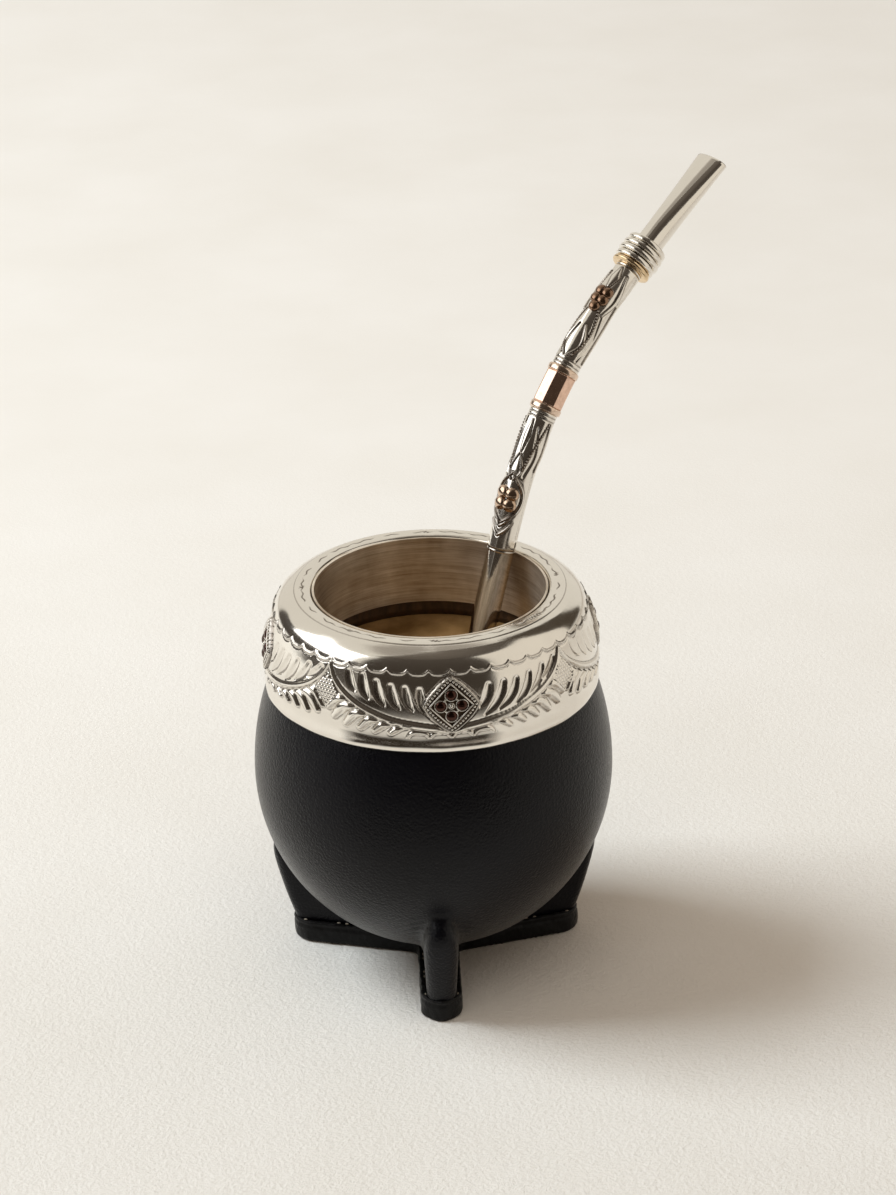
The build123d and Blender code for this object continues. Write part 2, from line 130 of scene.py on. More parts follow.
def flowing_line(points, count):
    """Evenly spaced points on a smooth line through a few points."""
    points = np.asarray(points, float)
    padded = np.vstack([2 * points[0] - points[1], points, 2 * points[-1] - points[-2]])
    share = np.linspace(0, 1, 24, endpoint=False)[:, None]
    spans = []
    for a, b, c, d in zip(padded, padded[1:], padded[2:], padded[3:]):
        square = (2 * a - 5 * b + 4 * c - d) * share**2
        cube = (3 * b - a - 3 * c + d) * share**3
        spans.append(0.5 * (2 * b + (c - a) * share + square + cube))
    line = np.vstack(spans + [points[-1:]])
    walked = np.concatenate([[0], np.cumsum(np.linalg.norm(np.diff(line, axis=0), axis=1))])
    stops = np.linspace(0, walked[-1], count)
    return np.column_stack([np.interp(stops, walked, column) for column in line.T])


def spin_once_round(shape, section, steps):
    whole = {"cent": (0, 0, 0), "axis": (0, 0, 1), "angle": 2 * math.pi, "use_merge": True}
    bmesh.ops.spin(shape, geom=section, steps=steps, **whole)


def turned(outline, steps):
    """A bmesh turned about the axis from an outline of (radius, height) points."""
    shape = bmesh.new()
    dots = [shape.verts.new((0, -radius, height)) for radius, height in outline]
    edges = [shape.edges.new(pair) for pair in zip(dots, dots[1:])]
    spin_once_round(shape, dots + edges, steps)
    bmesh.ops.remove_doubles(shape, verts=shape.verts, dist=1e-4)
    bmesh.ops.recalc_face_normals(shape, faces=shape.faces)
    return shape


def read_vertices(mesh, what):
    """The places ("co") or outward directions ("normal") of a mesh's vertices."""
    values = np.zeros(len(mesh.vertices) * 3)
    mesh.vertices.foreach_get(what, values)
    return values.reshape(-1, 3)


def write_vertices(mesh, place):
    mesh.vertices.foreach_set("co", place.ravel())


def azimuth_of(place):
    return np.degrees(np.arctan2(place[:, 0], -place[:, 1]))


def ridge(away, width):
    """One on a line, falling off smoothly to either side of it."""
    return np.exp(-((away / width) ** 2))


def mark_points(mesh, name, values):
    """Keeps a number for each point of a mesh, for its finish."""
    layer = mesh.attributes.new(name, "FLOAT", "POINT")
    layer.data.foreach_set("value", values.astype(np.float32))


class Chasing:
    """Hammered and engraved work over a flat pattern: its height, and how dark it is, with tarnish
    in its recesses and painted shade beside some strokes.
    """

    def __init__(self, across, up):
        self.across = across
        self.up = up
        self.raised = np.zeros_like(across)
        self.cut = np.zeros_like(across)
        self.tarnish_and_shade = np.zeros_like(across)

    def measure(self, points, widths, margin):
        """Points near a tapering line, their share of its half width, and how far beyond it."""
        line = np.asarray(points, float)
        if len(points) > 1:
            length = np.linalg.norm(np.diff(line, axis=0), axis=1).sum()
            line = flowing_line(points, max(28, int(length / 0.22)))
        half = np.interp(np.linspace(0, 1, len(line)), np.linspace(0, 1, len(widths)), widths)
        reach = half.max() + margin
        low = line.min(0) - reach
        high = line.max(0) + reach
        beside = (self.across > low[0]) & (self.across < high[0])
        near = np.flatnonzero(beside & (self.up > low[1]) & (self.up < high[1]))
        gap = np.hypot(self.across[near, None] - line[:, 0], self.up[near, None] - line[:, 1])
        return near, (gap / half).min(1), (gap - half).min(1)

    def paint_shade(self, points, widths, dark):
        """Paints shade along a soft-edged line without moving the surface."""
        near, share, _ = self.measure(points, widths, 0.2)
        self.tarnish_and_shade[near] = np.maximum(self.tarnish_and_shade[near], dark * np.clip(1 - share**2, 0, 1))

    def stroke(self, points, widths, height, fullness=0.8, outline=0.3, dark=0.8, over=False):
        """A tapering stroke along a smooth line: raised if its height is positive, else hollowed.

        With over, it lies on what is already there and presses it down along its edge.
        """
        near, share, beyond = self.measure(points, widths, 2.5 * outline)
        form = np.clip(1 - share**2, 0, 1) ** fullness
        edge = ridge(beyond, outline)
        if over:
            self.raised[near] *= 1 - 0.9 * ridge(beyond, 1.6 * outline)
        if height > 0:
            trench = -0.35 * outline * edge * (beyond > -outline / 2)
            self.raised[near] = np.maximum(self.raised[near], height * form)
            self.cut[near] = np.minimum(self.cut[near], trench)
            self.tarnish_and_shade[near] = np.maximum(self.tarnish_and_shade[near], dark * edge)
        else:
            self.cut[near] = np.minimum(self.cut[near], height * form)
            shade = dark * np.where(share < 1, 0.3 * form, 0.4 * edge)
            self.tarnish_and_shade[near] = np.maximum(self.tarnish_and_shade[near], shade)

    def height(self):
        return self.raised + np.where(self.raised > 0.02, 0, self.cut)


# --- finishes ------------------------------------------------------------------------------------


class Finish:
    """A material and short calls for its nodes."""

    def __init__(self, name, colour, roughness, metallic=0.0):
        self.material = bpy.data.materials.new(name)
        self.material.use_nodes = True
        self.nodes = self.material.node_tree.nodes
        self.links = self.material.node_tree.links
        self.surface = self.nodes["Principled BSDF"]
        self.surface.inputs["Base Color"].default_value = (*colour, 1)
        self.surface.inputs["Roughness"].default_value = roughness
        self.surface.inputs["Metallic"].default_value = metallic
        self.places = self.nodes.new("ShaderNodeTexCoord")

    def node(self, kind, **settings):
        node = self.nodes.new(kind)
        for key, value in settings.items():
            setattr(node, key, value)
        return node

    def join(self, source, target):
        self.links.new(source, target)

    def stretch(self, scale):
        mapping = self.node("ShaderNodeMapping")
        mapping.inputs["Scale"].default_value = scale
        self.join(self.places.outputs["Object"], mapping.inputs["Vector"])
        return mapping.outputs["Vector"]

    def noise(self, scale, detail=4.0, rough=0.55, place=None):
        grain = self.node("ShaderNodeTexNoise")
        grain.inputs["Scale"].default_value = scale
        grain.inputs["Detail"].default_value = detail
        grain.inputs["Roughness"].default_value = rough
        self.join(place or self.places.outputs["Object"], grain.inputs["Vector"])
        return grain.outputs["Fac"]

    def cells(self, scale, feature="F1", place=None):
        cells = self.node("ShaderNodeTexVoronoi", feature=feature)
        cells.inputs["Scale"].default_value = scale
        self.join(place or self.places.outputs["Object"], cells.inputs["Vector"])
        return cells.outputs["Distance"]

    def spread(self, value, low, high, out_low, out_high):
        spread = self.node("ShaderNodeMapRange")
        sockets = ("From Min", "From Max", "To Min", "To Max")
        for socket, number in zip(sockets, (low, high, out_low, out_high)):
            spread.inputs[socket].default_value = number
        self.join(value, spread.inputs["Value"])
        return spread.outputs["Result"]

    def blend(self, share, first, second):
        """A colour between two; each is a colour or a socket."""
        mix = self.node("ShaderNodeMix", data_type="RGBA")
        self.join(share, mix.inputs["Factor"])
        targets = [entry for entry in mix.inputs if entry.type == "RGBA"]
        for target, colour in zip(targets, (first, second)):
            if isinstance(colour, tuple):
                target.default_value = (*colour, 1)
            else:
                self.join(colour, target)
        return next(entry for entry in mix.outputs if entry.type == "RGBA")

    def sum(self, first, second, share):
        """first plus share times second."""
        add = self.node("ShaderNodeMath", operation="MULTIPLY_ADD")
        self.join(second, add.inputs[0])
        add.inputs[1].default_value = share
        self.join(first, add.inputs[2])
        return add.outputs["Value"]

    def colour(self, socket):
        self.join(socket, self.surface.inputs["Base Color"])

    def tone(self, value, low, high, first, second, most=1):
        """Goes from one colour to another as a value goes from low to high."""
        self.colour(self.blend(self.spread(value, low, high, 0, most), first, second))

    def roughness(self, socket):
        self.join(socket, self.surface.inputs["Roughness"])

    def bump(self, height, distance, strength=1.0):
        bump = self.node("ShaderNodeBump")
        bump.inputs["Distance"].default_value = distance
        bump.inputs["Strength"].default_value = strength
        self.join(height, bump.inputs["Height"])
        self.join(bump.outputs["Normal"], self.surface.inputs["Normal"])

    def attribute(self, name):
        return self.node("ShaderNodeAttribute", attribute_name=name).outputs["Fac"]


def nickel_silver(name, base, dark, rough_low, rough_high, marked=False):
    """Polished white metal with faint wiping marks; where marked, dark with tarnish in its recesses
    and with painted shade.
    """
    finish = Finish(name, base, rough_low, 1.0)
    cloud = finish.noise(160, 5)
    fine = finish.noise(1800, 3)
    wear = finish.sum(cloud, fine, 0.35)
    finish.bump(finish.sum(finish.noise(420, 2), fine, 0.25), 0.00002, 0.55)
    worn = tuple(0.86 * part for part in base)
    tint = finish.blend(finish.spread(wear, 0.35, 0.9, 0, 0.35), base, worn)
    satin = finish.spread(wear, 0.3, 0.95, rough_low, rough_high)
    if marked:
        tarnish_and_shade = finish.attribute("tarnish_and_shade")
        patchy = finish.spread(finish.sum(tarnish_and_shade, fine, 0.35), 0.3, 1.05, 0, 1)
        finish.colour(finish.blend(patchy, tint, dark))
        finish.roughness(finish.sum(satin, patchy, 0.22))
    else:
        finish.colour(tint)
        finish.roughness(satin)
    return finish.material


def black_leather(name, grain_scale, tone, rough):
    """Fine-grained black leather, satin, with slightly polished high spots."""
    finish = Finish(name, tone, rough)
    warp = finish.noise(grain_scale * 0.35, 3)
    grain = finish.cells(grain_scale, "SMOOTH_F1")
    fine = finish.noise(grain_scale * 2.2, 4)
    cloud = finish.noise(55, 4)
    surface = finish.sum(finish.sum(grain, fine, 0.7), warp, 0.5)
    finish.bump(surface, 0.00022, 0.55)
    polished = tuple(1.6 * part for part in tone)
    finish.tone(cloud, 0.3, 0.75, tone, polished)
    wear = finish.sum(cloud, fine, 0.6)
    finish.roughness(finish.spread(wear, 0.4, 1.1, rough - 0.05, rough + 0.08))
    finish.surface.inputs["Specular IOR Level"].default_value = 0.17
    finish.surface.inputs["Sheen Weight"].default_value = 0.09
    finish.surface.inputs["Sheen Roughness"].default_value = 0.3
    finish.surface.inputs["Sheen Tint"].default_value = (1.0, 0.96, 0.9, 1)
    return finish.material


def brushed_liner():
    """The liner's warm brushed metal, with lines round the bore."""
    finish = Finish("brushed_liner", (0.7, 0.6, 0.48), 0.34, 0.86)
    lines = finish.noise(1.0, 6, 0.7, finish.stretch((60, 60, 5200)))
    broad = finish.noise(1.0, 4, 0.6, finish.stretch((90, 90, 900)))
    cloud = finish.noise(1.0, 4, 0.55, finish.stretch((85, 85, 40)))
    mixed = finish.sum(lines, broad, 0.7)
    finish.tone(finish.sum(mixed, cloud, 1.1), 1.0, 1.75, (0.36, 0.275, 0.19), (0.97, 0.89, 0.77))
    finish.roughness(finish.spread(mixed, 0.6, 1.2, 0.28, 0.46))
    finish.bump(mixed, 0.00004, 0.6)
    return finish.material


def red_copper(name, base, rough, glaze=0.0):
    """Polished reddish copper with a little tarnish, and a clear glaze if it is a stone."""
    finish = Finish(name, base, rough, 1.0)
    finish.surface.inputs["Coat Weight"].default_value = glaze
    finish.surface.inputs["Coat Roughness"].default_value = 0.05
    finish.surface.inputs["Coat IOR"].default_value = 2.2
    cloud = finish.noise(700, 4)
    fine = finish.noise(2600, 3)
    tarnished = tuple(0.55 * part for part in base)
    finish.tone(cloud, 0.4, 0.8, base, tarnished, 0.7)
    finish.roughness(finish.spread(fine, 0.3, 0.7, rough, rough + 0.12))
    finish.bump(cloud, 0.00003, 0.5)
    return finish.material


def mate_drink():
    """Still brown tea."""
    finish = Finish("mate_drink", (0.17, 0.09, 0.03), 0.16)
    cloud = finish.noise(120, 5)
    finish.tone(cloud, 0.35, 0.7, (0.13, 0.068, 0.022), (0.27, 0.155, 0.062))
    finish.roughness(finish.spread(cloud, 0.3, 0.7, 0.12, 0.2))
    finish.bump(finish.noise(90, 2), 0.0002, 0.25)
    return finish.material


def dry_gourd():
    """The gourd's dark, tea-stained wall."""
    finish = Finish("dry_gourd", (0.05, 0.025, 0.01), 0.6)
    fibres = finish.noise(1.0, 5, 0.6, finish.stretch((700, 700, 220)))
    finish.tone(fibres, 0.35, 0.7, (0.028, 0.012, 0.004), (0.085, 0.04, 0.014))
    finish.roughness(finish.spread(fibres, 0.3, 0.7, 0.45, 0.7))
    finish.bump(fibres, 0.0002, 0.6)
    return finish.material


def stitch_thread():
    """Pale waxed thread."""
    finish = Finish("stitch_thread", (0.25, 0.22, 0.17), 0.6)
    twist = finish.noise(1400, 3)
    finish.tone(twist, 0.35, 0.7, (0.12, 0.10, 0.08), (0.34, 0.30, 0.24))
    finish.bump(twist, 0.00005, 0.6)
    return finish.material


SILVER = (0.86, 0.82, 0.755)
# The colour of tarnish in recesses and of painted shade on the chased silver.
SILVER_DARK = (0.10, 0.068, 0.045)
CHASED_SILVER = nickel_silver("chased_silver", SILVER, SILVER_DARK, 0.07, 0.17, marked=True)
PLAIN_SILVER = nickel_silver("polished_silver", SILVER, SILVER_DARK, 0.05, 0.13)
COVER_LEATHER = black_leather("cover_leather", 1700, (0.0012, 0.0012, 0.0024), 0.26)
SOLE_LEATHER = black_leather("sole_leather", 1100, (0.003, 0.0029, 0.003), 0.4)
LINER = brushed_liner()
COPPER = red_copper("red_copper", (0.86, 0.60, 0.47), 0.1)
COPPER_EDGE = red_copper("copper_edge", (0.84, 0.66, 0.53), 0.12)
GOLD = red_copper("gold_ring", (0.86, 0.66, 0.42), 0.1)
GOLD_STONE = red_copper("gold_stone", (0.60, 0.42, 0.29), 0.1, 0.5)
DARK_STONE = red_copper("dark_copper_stone", (0.06, 0.023, 0.015), 0.1, 0.06)
BROWN_STONE = red_copper("brown_copper_stone", (0.27, 0.155, 0.09), 0.12, 0.2)
DRINK = mate_drink()
GOURD = dry_gourd()
THREAD = stitch_thread()


def paint_node(node, material):
    """Gives a construction node its finish."""
    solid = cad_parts[node]
    solid.data.materials.clear()
    solid.data.materials.append(material)


# --- ferrule -------------------------------------------------------------------------------------

ROSETTE_AZIMUTH = 5.0
ROSETTE_HEIGHT = 89.6
ROSETTE_REACH = 6.9
ROSETTE_FRAME = 5.45
ROSETTE_POWER = 1.28
QUARTER = 90.0
BAND_STEPS = 1080
BAND_BOTTOM = 81.0
BAND_TOP = 98.3
DEGREE_LENGTH = math.radians(1) * 41.0
# Degrees from the rosette and height along the stem.
STEM_LINE = (
    (0.5, 83.2), (6, 83.8), (13, 84.5), (20, 85.4), (26, 86.7), (32, 88.4), (37.5, 90.6), (42, 93.3),
    (44.8, 96.6),
)
STEM_BEAD_DROP = 1.15
SCALLOP_SPACING = 7.5
SCALLOP_HEIGHT = 97.35
DIAMOND_HEIGHT = 90.1

FERRULE_OUTLINE = (
    (41.35, FERRULE_BOTTOM),
    (41.5, FERRULE_BOTTOM + 1.2),
    (41.15, FERRULE_BOTTOM + 3.4),
    (41.12, 84.0),
    (41.05, 86.8),
    (40.75, 89.8),
    (40.1, 92.7),
    (39.25, 95.6),
    (38.3, BAND_TOP),
    (37.1, 100.05),
    (35.25, 101.42),
    (33.75, 102.15),
    (33.25, 102.42),
    (31.6, RIM_HEIGHT),
    (30.2, 102.42),
    (29.45, 101.95),
    (29.25, 101.1),
    (29.25, 99.6),
)


OUTLINE = flowing_line(FERRULE_OUTLINE, 1200)
RISING = OUTLINE[: int(np.argmax(OUTLINE[:, 1]))]


def outline_between(low, high, spacing):
    """The ferrule's outline between two heights, or on into the mouth if high is None."""
    start = int(np.searchsorted(RISING[:, 1], low))
    end = int(np.searchsorted(RISING[:, 1], high)) + 1 if high else len(OUTLINE)
    part = OUTLINE[start:end]
    walked = np.concatenate([[0], np.cumsum(np.linalg.norm(np.diff(part, axis=0), axis=1))])
    stops = np.linspace(0, walked[-1], int(walked[-1] / spacing) + 1)
    return np.column_stack([np.interp(stops, walked, part[:, axis]) for axis in (0, 1)])


def band_radius(height):
    return float(np.interp(height, RISING[:, 1], RISING[:, 0]))


def chase_stems(work, side):
    """The stem from under the rosette up to the stippled diamond, with its row of tiny beads."""
    stem = [(side * degrees * DEGREE_LENGTH, height) for degrees, height in STEM_LINE]
    work.stroke(stem, (0.85, 1.05, 0.9, 0.7, 0.4), 0.62, 0.9, 0.2, 0.4, over=True)
    route = flowing_line([(abs(x), z) for x, z in stem], 90)
    ahead = np.gradient(route, axis=0)
    ahead /= np.linalg.norm(ahead, axis=1)[:, None]
    beads = route + np.column_stack([ahead[:, 1], -ahead[:, 0]]) * STEM_BEAD_DROP
    for x, z in beads[50:80] if side < 0 else ():
        work.stroke([(side * x, z)], (0.24,), 0.1, outline=0.1, dark=0.1)


# Degrees from the rosette and height of each flute's head, then of its foot.
FLUTES_LEFT = (
    (10.6, 93.6, 9.0, 87.9),
    (15.6, 93.9, 12.9, 88.1),
    (20.6, 94.2, 17.4, 88.4),
    (25.9, 94.9, 22.6, 89.1),
    (31.2, 95.9, 28.4, 90.3),
    (36.6, 96.2, 33.6, 91.7),
)
FLUTES_RIGHT = (
    (13.4, 93.6, 9.9, 88.3),
    (18.6, 93.7, 11.6, 86.2),
    (23.6, 93.6, 16.7, 87.0),
    (29.1, 94.0, 23.2, 87.5),
    (35.2, 94.6, 29.2, 89.0),
    (41.0, 95.2, 35.2, 91.4),
)


def chase_flutes(work, side):
    """Hollow comma-shaped flutes above the stem, their tails sweeping towards the rosette, each with
    painted shade along its side away from the rosette.
    """
    for top, head, bottom, foot in FLUTES_LEFT if side < 0 else FLUTES_RIGHT:
        start = side * top * DEGREE_LENGTH
        end = side * bottom * DEGREE_LENGTH
        drop = head - foot
        line = (
            (start - 0.05 * (end - start), head - 0.3),
            (start + 0.12 * (end - start), head - 0.35 * drop),
            (start + 0.45 * (end - start), head - 0.68 * drop),
            (end, foot),
        )
        work.stroke(line, (0.95, 1.28, 1.1, 0.25), -0.5, fullness=1.0, outline=0.16, dark=0.2)
        # Painted shade: a dark line inside each flute along its side away from the rosette.
        outer = [(x + side * 0.62, z) for x, z in line[:3]] + [(line[3][0] + side * 0.2, line[3][1])]
        work.paint_shade(outer, (0.4, 0.6, 0.5, 0.2), 0.7)


# Degrees from the rosette and heights along each leaf.
LEAVES = (
    ((36.2, 88.9), (40.3, 88.6), (43.6, 86.3)),
    ((31.6, 87.6), (37.2, 87.3), (41.2, 84.2)),
    ((27.0, 86.4), (32.6, 86.2), (36.5, 83.2)),
    ((22.4, 85.5), (27.5, 85.3), (31.2, 82.9)),
    ((17.8, 84.8), (22.4, 84.6), (26.0, 82.6)),
    ((13.2, 84.2), (17.2, 84.0), (20.6, 82.3)),
)
ARCH_POINTS = (0.0, 7.4, 14.8)


def chase_leaves(work, side):
    """Pointed comma leaves under the stem, each with a painted shadow below it, and the small arches
    below the rosette.
    """
    for number, leaf in enumerate(LEAVES):
        full = 1.66 - 0.15 * number
        line = [(side * degrees * DEGREE_LENGTH, height) for degrees, height in leaf]
        work.stroke(line, (0.2, 0.8 * full, full, 0.72 * full), 0.8, 0.85, 0.24, 0.4, over=True)
        # Painted shadow: a dark line just below each leaf.
        under = [(x + side * 0.3, z - 0.55 * full) for x, z in line[1:]]
        work.paint_shade(under, (0.3, 0.5, 0.3), 0.45)
    for first, last in zip(ARCH_POINTS, ARCH_POINTS[1:]):
        places = (first, first + 1.2, (first + last) / 2, last - 1.2, last)
        arch = zip(places, (81.4, 82.5, 82.95, 82.5, 81.4))
        line = [(side * degrees * DEGREE_LENGTH, height) for degrees, height in arch]
        work.stroke(line, (0.28, 0.5, 0.66, 0.5, 0.28), 0.5, fullness=0.9, outline=0.22, dark=0.55)


def chase_diamond(work, side):
    """Half of the stippled diamond midway between two rosettes."""
    middle = QUARTER / 2 * DEGREE_LENGTH * side
    inside = np.abs(work.across - middle) / 3.9 + np.abs(work.up - DIAMOND_HEIGHT) / 4.6 < 1
    work.raised[inside] = 0.12
    work.cut[inside] = 0
    work.tarnish_and_shade[inside] = 0
    for tip in (DIAMOND_HEIGHT + 4.6, DIAMOND_HEIGHT - 4.6):
        border = [(middle - side * 4.0, DIAMOND_HEIGHT), (middle, tip)]
        work.stroke(border, (0.16, 0.16), -0.16, outline=0.16, dark=0.5)
    for row in range(-5, 6):
        for column in range(0, 5):
            x = column * 0.94 + (0.47 if row % 2 else 0)
            z = row * 0.8
            if x / 3.6 + abs(z) / 4.3 < 1:
                grain = [(middle - side * x, DIAMOND_HEIGHT + z)]
                work.stroke(grain, (0.44,), 0.42, outline=0.14, dark=0.36)


def chase_rosette(work):
    """The rosette's plate: a rim, a sunk border for its beads, a frame and a sunk field, and round
    it a shallow groove darkened partly as tarnish and partly as painted shadow.
    """
    x = np.abs(work.across) / ROSETTE_REACH
    z = np.abs(work.up - ROSETTE_HEIGHT) / ROSETTE_REACH
    plate = (x**ROSETTE_POWER + z**ROSETTE_POWER) ** (1 / ROSETTE_POWER)
    frame_share = (np.abs(work.across) + np.abs(work.up - ROSETTE_HEIGHT)) / ROSETTE_FRAME
    inside = plate < 1
    rim = ridge(plate - 0.96, 0.035)
    height = np.where(frame_share < 0.97, 0.1, 0.34 + 0.4 * rim)
    work.raised[inside] = height[inside]
    work.cut[inside] = 0
    dark = np.where(frame_share < 0.97, 1.0, 0.85) * (1 - rim)
    work.tarnish_and_shade[inside] = dark[inside]
    # A shallow groove round the plate, darkened both as tarnish in it and as a painted shadow round
    # the plate.
    around = (plate >= 1) & (plate < 1.12)
    shade = ridge(plate - 1.0, 0.05)
    work.raised[around] *= (1 - shade)[around]
    work.cut[around] = np.minimum(work.cut[around], -0.15 * shade[around])
    work.tarnish_and_shade[around] = np.maximum(work.tarnish_and_shade[around], 0.85 * shade[around])


def chase_scallops(work, degrees):
    """The line of small hanging arcs along the band's upper edge."""
    share = (degrees / SCALLOP_SPACING) % 1.0 * 2 - 1
    for lift, half, height in ((0.0, 0.26, 0.34), (-0.62, 0.15, -0.14)):
        arc = SCALLOP_HEIGHT + lift + 0.75 * share**4 - 0.35 * (1 - share**2)
        gap = np.abs(work.up - arc) / half
        form = np.clip(1 - gap**2, 0, 1)
        if height > 0:
            work.raised = np.maximum(work.raised, height * form)
            edge = ridge(np.abs(work.up - arc) - half, 0.16)
            work.tarnish_and_shade = np.maximum(work.tarnish_and_shade, 0.65 * edge)
        else:
            work.cut = np.minimum(work.cut, height * form)
            work.tarnish_and_shade = np.maximum(work.tarnish_and_shade, 0.5 * form)


def build_band():
    """The chased band: a turned wall whose surface is raised and hollowed by the pattern."""
    mesh = as_mesh("ferrule_band", turned(outline_between(BAND_BOTTOM, BAND_TOP, 0.215), BAND_STEPS))
    place = read_vertices(mesh, "co")
    out = read_vertices(mesh, "normal")
    azimuth = azimuth_of(place) - ROSETTE_AZIMUTH
    degrees = (azimuth + QUARTER / 2) % QUARTER - QUARTER / 2
    work = Chasing(degrees * DEGREE_LENGTH, place[:, 2].copy())
    chase_scallops(work, azimuth)
    for side in (-1, 1):
        chase_flutes(work, side)
        chase_leaves(work, side)
        chase_diamond(work, side)
    for side in (-1, 1):
        chase_stems(work, side)
    chase_rosette(work)
    from_edge = np.minimum(place[:, 2] - BAND_BOTTOM, BAND_TOP - place[:, 2])
    faded = np.clip(from_edge / 0.4, 0, 1)
    sign = np.sign((out[:, :2] * place[:, :2]).sum(1))[:, None]
    place += out * sign * (work.height() * faded)[:, None]
    write_vertices(mesh, place)
    mark_points(mesh, "tarnish_and_shade", work.tarnish_and_shade * faded)
    return finish_piece("ferrule_band", mesh, CHASED_SILVER, ["ferrule"])


CHASED_RING_RADIUS = 31.6
RING_EDGE_RADIUS = 33.5
CROWN_STEPS = 900
# Azimuth and half length of the small engraved leaves on the ring.
RING_MARKS = ((-92, 0.9), (-39.5, 0.8), (0.5, 1.3), (51, 2.6), (97, 0.9), (142, 0.8), (180, 0.8))


def build_crown():
    """The rolled shoulder and the flat ring round the mouth, with its engraved wavy line."""
    outline = outline_between(BAND_TOP, None, 0.2)
    mesh = as_mesh("ferrule_crown", turned(outline, CROWN_STEPS))
    place = read_vertices(mesh, "co")
    radius = np.hypot(place[:, 0], place[:, 1])
    azimuth = azimuth_of(place)
    turn = np.radians(azimuth)
    on_top = place[:, 2] > RIM_HEIGHT - 0.6
    wave = CHASED_RING_RADIUS + 0.2 * np.sin(turn * 52) + 0.15 * np.sin(turn * 13)
    broken = np.clip(0.9 + 0.8 * np.sin(turn * 26 + 0.6) + 0.5 * np.sin(turn * 7), 0, 1)
    groove = ridge(radius - wave, 0.2) * broken * on_top
    for mark, half in RING_MARKS:
        away = (azimuth - mark + 180) % 360 - 180
        along = np.radians(away) * CHASED_RING_RADIUS
        across = radius - CHASED_RING_RADIUS - 0.2 * along / half
        leaf = np.exp(-((along / half) ** 4)) * np.exp(-((across / 0.62) ** 4))
        veins = 0.6 + 0.4 * np.sin(along * 7 + across * 4)
        groove = np.maximum(groove, leaf * veins * on_top)
    groove = np.maximum(groove, 0.6 * ridge(radius - RING_EDGE_RADIUS, 0.16))
    place[:, 2] -= 0.16 * groove
    write_vertices(mesh, place)
    mark_points(mesh, "tarnish_and_shade", groove * 0.95)
    return finish_piece("ferrule_crown", mesh, CHASED_SILVER)


def build_lip():
    """The plain lower edge of the ferrule, rolled in over the leather."""
    rolled_in = [(40.4, FERRULE_BOTTOM + 1.2), (40.75, FERRULE_BOTTOM + 0.15)]
    outline = np.vstack([rolled_in, outline_between(FERRULE_BOTTOM, BAND_BOTTOM, 0.4)])
    mesh = as_mesh("ferrule_lip", turned(outline, 360))
    place = read_vertices(mesh, "co")
    turn = np.radians(azimuth_of(place))
    hammer = 0.07 * np.sin(turn * 9) + 0.035 * np.sin(turn * 23 + 1.0)
    fade = np.clip((BAND_BOTTOM - place[:, 2]) / 3, 0, 1)
    place[:, :2] *= (1 + hammer * fade / 41)[:, None]
    write_vertices(mesh, place)
    mark_points(mesh, "tarnish_and_shade", np.zeros(len(place)))
    return finish_piece("ferrule_lip", mesh, CHASED_SILVER)


def on_band(azimuth, across, height, stand):
    """Point and outward direction on the band, at a distance across from an azimuth."""
    radius = band_radius(height)
    turn = math.radians(azimuth) + across / radius
    slope = band_radius(height + 0.5) - band_radius(height - 0.5)
    out = Vector((math.sin(turn), -math.cos(turn), -slope)).normalized()
    point = Vector((math.sin(turn) * radius, -math.cos(turn) * radius, height)) + out * stand
    return point, out


def add_bead(shape, point, out, radius, flat=0.75):
    """A small ball, slightly flattened along the surface's outward direction."""
    turn = out.to_track_quat("Z", "Y").to_matrix().to_4x4()
    matrix = Matrix.Translation(point) @ turn @ Matrix.Diagonal((radius, radius, radius * flat, 1))
    bmesh.ops.create_icosphere(shape, subdivisions=2, radius=1.0, matrix=matrix)


def add_collar(shape, point, out, ring_radius, wire_radius, steps=28):
    """A small wire ring round a stone."""
    turn = out.to_track_quat("Z", "Y").to_matrix().to_4x4()
    made = bmesh.ops.create_circle(
        shape,
        cap_ends=False,
        segments=8,
        radius=wire_radius,
        matrix=Matrix.Translation((ring_radius, 0, 0)) @ Matrix.Rotation(math.pi / 2, 4, "X"),
    )
    edges = dict.fromkeys(edge for vert in made["verts"] for edge in vert.link_edges)
    before = set(shape.verts) - set(made["verts"])
    spin_once_round(shape, list(made["verts"]) + list(edges), steps)
    ring = [vert for vert in shape.verts if vert not in before]
    bmesh.ops.transform(shape, matrix=Matrix.Translation(point) @ turn, verts=ring)


FRAME_WIDTH = 0.46
FRAME_RISE = 0.62
BORDER_BEADS = 40
BORDER_BEAD_RADIUS = 0.32
STONE_SPREAD = 2.55
STONE_RADIUS = 1.36
CUP_RADIUS = 1.42
LOOP_SPREAD = 2.0


